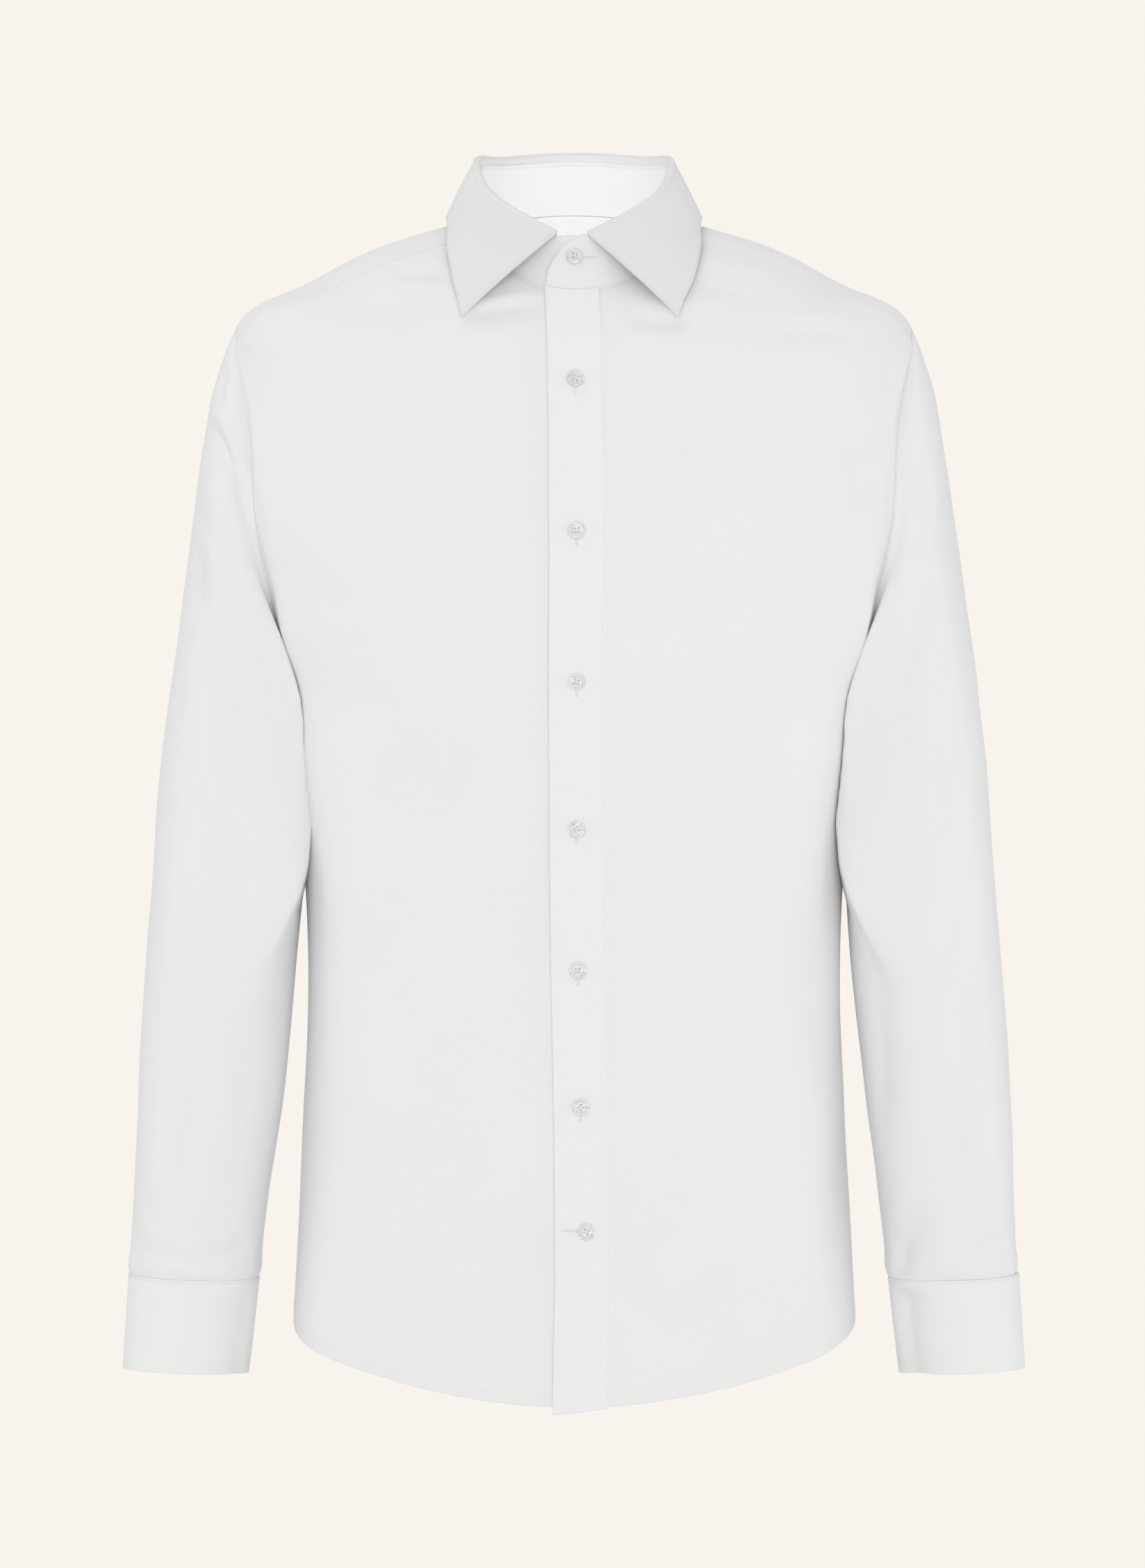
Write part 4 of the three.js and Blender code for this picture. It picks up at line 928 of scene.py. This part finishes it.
def sleeve_strip(side, hand):
    ring = CUFF_SEAM - 2 * spaced(*SPREAD["slit_down"])[:, None]
    pointed = SLIT_STRIP["point"] + (ring - CUFF_SEAM + 2) / SLIT_STRIP["taper"]
    half = SLIT_STRIP["half"] * np.minimum(1, pointed)
    turn = SLIT_AT + half * (2 * spaced(*SPREAD["slit_across"])[None, :] - 1)
    grid, normals, gaps = laid(sleeve_point, sleeve_normal, turn, ring)
    edge = nearest(gaps, "left", "right", "last")
    inward = crease_depth(grid, normals, hand) - LIFT - STRIP - SLIT_STRIP["proud"] + rolled(edge)
    cloth_piece("sleeve_strip_" + side, grid, normals, inward, STRIP, STIFF, edge + 3.5, hand=hand)


# ---------- sewing
def lay_path(grid, normals, gap, offset, axis):
    """The line on a grid that runs at an offset from one edge: its points and normals."""
    both = np.concatenate([grid, normals], -1)
    if axis == 0:
        gap, both = gap.T, both.transpose(1, 0, 2)
    path = []
    for line, places in zip(gap, both):
        order = np.argsort(line)
        if line.max() >= offset:
            path.append([np.interp(offset, line[order], places[order, k]) for k in range(6)])
    path = np.array(path)
    return path[:, :3], unit(path[:, 3:])


def threads(start, end, out, radius):
    """Short threads from point to point that dip into the cloth at both ends: points and faces."""
    share = np.array([0, 0.16, 0.5, 0.84, 1])[None, :, None]
    way = unit(end - start)[:, None, :]
    out = unit(out)[:, None, :]
    side = np.cross(way, out)
    lift = radius * np.array([-1.4, 0.25, 0.6, 0.25, -1.4])[None, :, None]
    thick = radius * np.array([0.6, 0.95, 1, 0.95, 0.6])[None, :, None, None]
    middle = start[:, None, :] + (end - start)[:, None, :] * share + out * lift
    turn = np.arange(0, 360, 60)[None, None, :, None]
    s, c = sin_cos(turn)
    points = middle[:, :, None, :] + thick * (c * side[:, :, None, :] + s * out[:, :, None, :])
    corner = np.arange(6)
    beside = (corner + 1) % 6
    near = np.arange(4)[:, None] * 6
    tube = np.stack([near + corner, near + beside, near + 6 + beside, near + 6 + corner], -1).reshape(-1, 4)
    base = np.arange(len(start))[:, None, None] * 30
    ends = np.stack([corner[::-1], 24 + corner])
    faces = (base + tube[None]).reshape(-1, 4).tolist() + (base + ends[None]).reshape(-1, 6).tolist()
    return points.reshape(-1, 3), faces


def sewn(name, rows, radius=THREAD["radius"], hand=1):
    """One piece of sewing thread from rows of (start, end, outward) points."""
    start, end, out = (np.concatenate([row[k] for row in rows]) for k in range(3))
    points, faces = threads(start, end, out, radius)
    if hand < 0:
        points[:, 0] *= -1
        faces = [face[::-1] for face in faces]
    mesh = bpy.data.meshes.new(name)
    mesh.from_pydata((points * MM).tolist(), [], faces)
    smooth_shaded(new_piece(name, mesh, SEWING), 60)


def running(sheet, edge, offset, axis, inside=0.0):
    """Even stitches along one edge of a sheet, on its outer face, or on its inner face at a depth."""
    grid, normals, gaps = SHEETS[sheet]
    path, facing = lay_path(grid, normals, gaps[edge], offset, axis)
    if inside:
        path, facing = path - facing * inside, -facing
    run = run_along(path)
    at = np.arange(THREAD["pitch"], run[-1] - THREAD["pitch"], THREAD["pitch"])
    along = lambda line, places: np.stack([np.interp(places, run, line[:, k]) for k in range(3)], -1)
    return along(path, at), along(path, at + THREAD["long"]), along(facing, at + THREAD["long"] / 2)


def on_sheet(sheet, x, z, columns=slice(None)):
    """The point and normal of a sheet that lie at one x and z of its front or back face."""
    grid, normals = SHEETS[sheet][0][:, columns], SHEETS[sheet][1][:, columns]
    rows, places = np.arange(grid.shape[0]), np.arange(grid.shape[1])

    def blend(table, row, place):
        i = int(np.clip(row, 0, len(rows) - 2))
        j = int(np.clip(place, 0, len(places) - 2))
        s, t = row - i, place - j
        low = table[i, j] * (1 - t) + table[i, j + 1] * t
        return low * (1 - s) + (table[i + 1, j] * (1 - t) + table[i + 1, j + 1] * t) * s

    row = len(rows) / 2
    for _ in range(5):
        line = grid[int(np.clip(round(row), 0, len(rows) - 1)), :, 0]
        order = np.argsort(line)
        place = np.interp(x, line[order], places[order])
        column_z = grid[:, int(np.clip(round(place), 0, len(places) - 1)), 2]
        order = np.argsort(column_z)
        row = np.interp(z, column_z[order], rows[order])
    return blend(grid, row, place), unit(blend(normals, row, place))


def buttonhole(sheet, button, place, level=True, columns=slice(None)):
    """The close stitches on both sides of a slit by a button, and across the slit's two ends."""
    x, z, long = button[0] + place[0], button[1] + place[1], place[2]
    way = np.array([1.0, 0.0]) if level else np.array([0.0, 1.0])
    across = np.array([way[1], -way[0]])
    outer = HOLE["slit"] + HOLE["wide"]
    stitches = []

    def lay(a, b):
        (p, n), (q, m) = (on_sheet(sheet, x + c[0], z + c[1], columns) for c in (a, b))
        stitches.append((p, q, n + m))

    for t in np.arange(-long / 2, long / 2, HOLE["pitch"]):
        for flip in (-1, 1):
            lay(way * t + across * flip * HOLE["slit"], way * (t + HOLE["stitch"]) + across * flip * outer)
    near, far = (long / 2 + past for past in HOLE["ends"])
    for t in (-far, -near, near, far):
        lay(way * t - across * outer, way * t + across * outer)
    return [np.array(points) for points in zip(*stitches)]


def sewing():
    for name, hand in (("front_left", 1), ("front_right", -1), ("back", 1)):
        sewn("hem_stitches_" + name, [running(name, "first", HEM["at"], 0)], hand=hand)
    edges = [("left", 1), ("right", 1), ("last", 0)]
    sewn("yoke_stitches", [running("yoke", edge, ROWS["yoke"], axis) for edge, axis in edges])
    band = [running("collar_band", edge, ROWS["band"], 0) for edge in ("last", "first")]
    band.append(running("collar_band", "last", ROWS["band_inside"], 0, inside=BAND))
    sewn("collar_band_stitches", band)
    sewn("front_strip_stitches", [running("placket", "right", ROWS["strip"], 1)])
    for side, hand in SIDES:
        rows = [running("cuff_" + side, "first", ROWS["cuff"], 0)]
        rows += [running("sleeve_strip_" + side, edge, ROWS["slit"], 1) for edge in ("left", "right")]
        sewn("cuff_stitches_" + side, rows, hand=hand)
    holes = [buttonhole("placket", button, HOLES["front"], level=False) for button in FRONT_BUTTONS[:-1]]
    holes.append(buttonhole("placket", FRONT_BUTTONS[-1], HOLES["lowest"]))
    sewn("buttonholes_front", holes)
    hole = buttonhole("collar_band", BAND_SEAT[::2], HOLES["collar"], columns=slice(0, 90))
    sewn("buttonhole_collar", [hole], radius=HOLE["bold"])
    for side, hand in SIDES:
        hole = buttonhole("cuff_" + side, CUFF_SEAT[::2], HOLES["cuff"], columns=slice(0, 60))
        sewn("buttonhole_cuff_" + side, [hole], radius=HOLE["bold"], hand=hand)


# ---------- buttons
def applied():
    """The primitive just added, with its place and turn made part of its mesh."""
    bpy.ops.object.transform_apply(location=True, rotation=True, scale=True)
    return bpy.context.active_object


def choose(piece, test):
    """Select the faces of a mesh in edit mode whose normals pass a test."""
    bpy.ops.object.mode_set(mode="EDIT")
    bpy.ops.mesh.select_mode(type="FACE")
    bpy.ops.mesh.select_all(action="DESELECT")
    shape = bmesh.from_edit_mesh(piece.data)
    for face in shape.faces:
        face.select_set(test(face.normal))
    bmesh.update_edit_mesh(piece.data)


def finished(piece, kind, **settings):
    """Add a modifier to a piece and apply it."""
    select_only(piece)
    modifier = piece.modifiers.new(kind.lower(), kind)
    for name, value in settings.items():
        setattr(modifier, name, value)
    bpy.ops.object.modifier_apply(modifier=modifier.name)


def made_of(piece, material, degrees):
    piece.data.materials.clear()
    piece.data.materials.append(material)
    smooth_shaded(piece, degrees)
    return piece


def button_blank():
    """A round button lying on z = 0: a rolled rim, a sunk face and four holes."""
    radius, thick = BUTTON["radius"] * MM, BUTTON["thick"] * MM
    bpy.ops.object.select_all(action="DESELECT")
    bpy.ops.mesh.primitive_cylinder_add(vertices=56, radius=radius, depth=thick, location=(0, 0, thick / 2))
    blank = applied()
    choose(blank, lambda normal: normal.z > 0.9)
    bpy.ops.mesh.inset(thickness=BUTTON["rim"] * MM, depth=0)
    bpy.ops.mesh.inset(thickness=0.5 * MM, depth=-BUTTON["dish"] * MM)
    choose(blank, lambda normal: normal.z < -0.9)
    bpy.ops.mesh.inset(thickness=0.9 * MM, depth=0.35 * MM)
    bpy.ops.object.mode_set(mode="OBJECT")
    finished(blank, "BEVEL", width=0.5 * MM, segments=4, limit_method="ANGLE", angle_limit=math.radians(28))
    for turn in HOLE_TURNS:
        s, c = sin_cos(turn)
        bpy.ops.object.select_all(action="DESELECT")
        bpy.ops.mesh.primitive_cylinder_add(
            vertices=20, radius=BUTTON["hole"] * MM, depth=0.02,
            location=(BUTTON["spread"] * c * MM, BUTTON["spread"] * s * MM, 0))
        drill = applied()
        finished(blank, "BOOLEAN", operation="DIFFERENCE", object=drill, solver="EXACT")
        bpy.data.objects.remove(drill, do_unlink=True)
    return made_of(blank, PEARL, 35)


def cross_thread():
    """Two doubled threads that cross on the button's face and go down through its holes."""
    loops = []
    low = (BUTTON["thick"] - BUTTON["dish"] - 0.1) * MM
    for turn in HOLE_TURNS[:2]:
        s, c = sin_cos(turn)
        for beside in (-0.24 * MM, 0.24 * MM):
            bpy.ops.object.select_all(action="DESELECT")
            bpy.ops.mesh.primitive_torus_add(
                major_radius=BUTTON["spread"] * MM, minor_radius=0.25 * MM,
                major_segments=28, minor_segments=8,
                location=(-s * beside, c * beside, low), rotation=(math.radians(90), 0, math.radians(turn)))
            loops.append(applied())
            bpy.ops.object.mode_set(mode="EDIT")
            bpy.ops.mesh.select_all(action="SELECT")
            bpy.ops.transform.resize(value=(1, 1, 0.42), center_override=(0, 0, low))
            bpy.ops.object.mode_set(mode="OBJECT")
    bpy.ops.object.select_all(action="DESELECT")
    for loop in loops:
        loop.select_set(True)
    bpy.context.view_layer.objects.active = loops[0]
    bpy.ops.object.join()
    return made_of(bpy.context.active_object, SEWING, 60)


def copied(source, name, matrix):
    """A copy of a modelled piece with its own mesh, set down by a matrix that goes into the mesh."""
    mesh = source.data.copy()
    mesh.name = name
    mesh.transform(matrix)
    return new_piece(name, mesh)


def fasten(node, seat, facing, right=0.0, up=0.0, spin=0.0, hand=1):
    """Set a button on its seat, turned a little to the right or up as loose buttons are."""
    seat, facing = np.array(seat, float) * [hand, 1, 1], unit(np.array(facing, float) * [hand, 1, 1])
    look = Vector(facing).to_track_quat("Z", "Y").to_matrix().to_4x4()
    turned = lambda degrees, axis: Matrix.Rotation(math.radians(degrees), 4, axis)
    tilt = turned(right, (0, 0, 1)) @ turned(-up, (1, 0, 0))
    raised = seat + facing * BUTTON["radius"] * math.sin(math.radians(math.hypot(right, up)))
    matrix = Matrix.Translation(Vector(raised * MM)) @ tilt @ look @ turned(spin, "Z")
    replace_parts(copied(BLANK, node + "_pearl", matrix), node)
    copied(CROSS, node + "_thread", matrix)


def buttons():
    for number, ((x, z), turns) in enumerate(zip(FRONT_BUTTONS, BUTTON_TURNS), 1):
        seat, facing = on_sheet("placket", x, z)
        fasten(f"button_front_{number}", seat + facing * LIFT, facing, *turns)
    fasten("button_collar", BAND_SEAT, BAND_FACING, *BAND_BUTTON["turns"])
    for side, hand in SIDES:
        fasten("button_cuff_" + side, CUFF_SEAT, CUFF_FACING, spin=8, hand=hand)


fronts()
back_panel()
front_strip()
yoke()
collar_band()
collar_leaf()
for side, hand in SIDES:
    sleeve(side, hand)
    cuff(side, hand)
    sleeve_strip(side, hand)

BAND_PLACE = (np.array(float(angle_at_x(BAND_BUTTON["x"], float(NECK)))), BAND_BUTTON["rise"])
BAND_FACING = band_normal(*BAND_PLACE)
BAND_SEAT = band_point(*BAND_PLACE) + BAND_FACING * BAND_BUTTON["off"]
CUFF_PLACE = (np.array(SLIT_AT), np.array(1.0))
CUFF_FACING = cuff_normal(*CUFF_PLACE)
CUFF_SEAT = cuff_point(*CUFF_PLACE) + CUFF_FACING * (CUFF["proud"] + LIFT)
sewing()
BLANK, CROSS = button_blank(), cross_thread()
buttons()
for model in (BLANK, CROSS):
    bpy.data.objects.remove(model, do_unlink=True)

# ---------- view and light
AMBIENT = 0.586
LIGHTS = [  # name, place, what it faces, width and height in metres, and power in watts
    ("front_soft", (0, -3.6, -0.36), (0, 0, -0.36), (3.0, 3.0), 44),
    ("left_soft", (-3.2, -0.7, -0.3), (0, 0, -0.35), (2.0, 2.4), 12),
    ("right_soft", (3.2, -0.7, -0.3), (0, 0, -0.35), (2.0, 2.4), 16),
    ("top_soft", (-0.9, 0.3, 2.6), (0, 0, -0.2), (2.4, 1.8), 17),
    ("back_soft", (0, 3.0, -0.3), (0, 0, -0.36), (2.4, 2.4), 20),
    ("neck_fill", (0, -0.015, -0.10), (0, 0.062, 0.03), (0.05, 0.05), 0.12),
]
CAMERA = {"away": 3.0, "across": -0.0009, "up": -0.362, "seen": 1.04052, "film": 36}  # seen: height in view


def in_scene(name, data, place):
    made = bpy.data.objects.new(name, data)
    bpy.context.collection.objects.link(made)
    made.location = place
    return made


def camera():
    data = bpy.data.cameras.new("camera")
    data.sensor_width = CAMERA["film"]
    data.lens = CAMERA["film"] * CAMERA["away"] / CAMERA["seen"]
    data.clip_end = 50
    eye = in_scene("camera", data, (CAMERA["across"], -CAMERA["away"], CAMERA["up"]))
    eye.rotation_euler = (math.radians(90), 0, 0)
    bpy.context.scene.camera = eye


def soft_light(name, place, aim, size, power):
    data = bpy.data.lights.new(name, "AREA")
    data.shape = "RECTANGLE"
    data.size, data.size_y = size
    data.energy = power
    lamp = in_scene(name, data, place)
    lamp.visible_camera = False
    lamp.rotation_euler = (Vector(aim) - Vector(place)).to_track_quat("-Z", "Y").to_euler()


def world_light():
    """A plain warm white behind the part, and even white light from all round."""
    world = bpy.data.worlds.new("studio")
    bpy.context.scene.world = world
    world.use_nodes = True
    tree = world.node_tree
    tree.nodes.clear()
    seen = add_node(tree, "ShaderNodeBackground", {0: (0.9473, 0.8963, 0.8550, 1)})
    lit = add_node(tree, "ShaderNodeBackground", {0: (1, 1, 1, 1), 1: AMBIENT})
    ray = add_node(tree, "ShaderNodeLightPath").outputs["Is Camera Ray"]
    mix = add_node(tree, "ShaderNodeMixShader", {0: ray, 1: lit.outputs[0], 2: seen.outputs[0]})
    add_node(tree, "ShaderNodeOutputWorld", {0: mix.outputs[0]})


def floor():
    bpy.ops.object.select_all(action="DESELECT")
    bpy.ops.mesh.primitive_plane_add(size=5, location=(0, -0.6, -1.28))
    ground = applied()
    ground.name = "studio_floor"
    ground.data.materials.append(pale_floor())


camera()
world_light()
floor()
for light in LIGHTS:
    soft_light(*light)
bpy.context.scene.view_settings.view_transform = "Standard"

for name, piece in PIECES.items():
    stem, _, side = name.rpartition("_")
    cut, area, held, rests_on = CUTS[stem if side in dict(SIDES) else name]
    rests_on = ["sleeve_" + side if under == "sleeve" else under for under in rests_on]
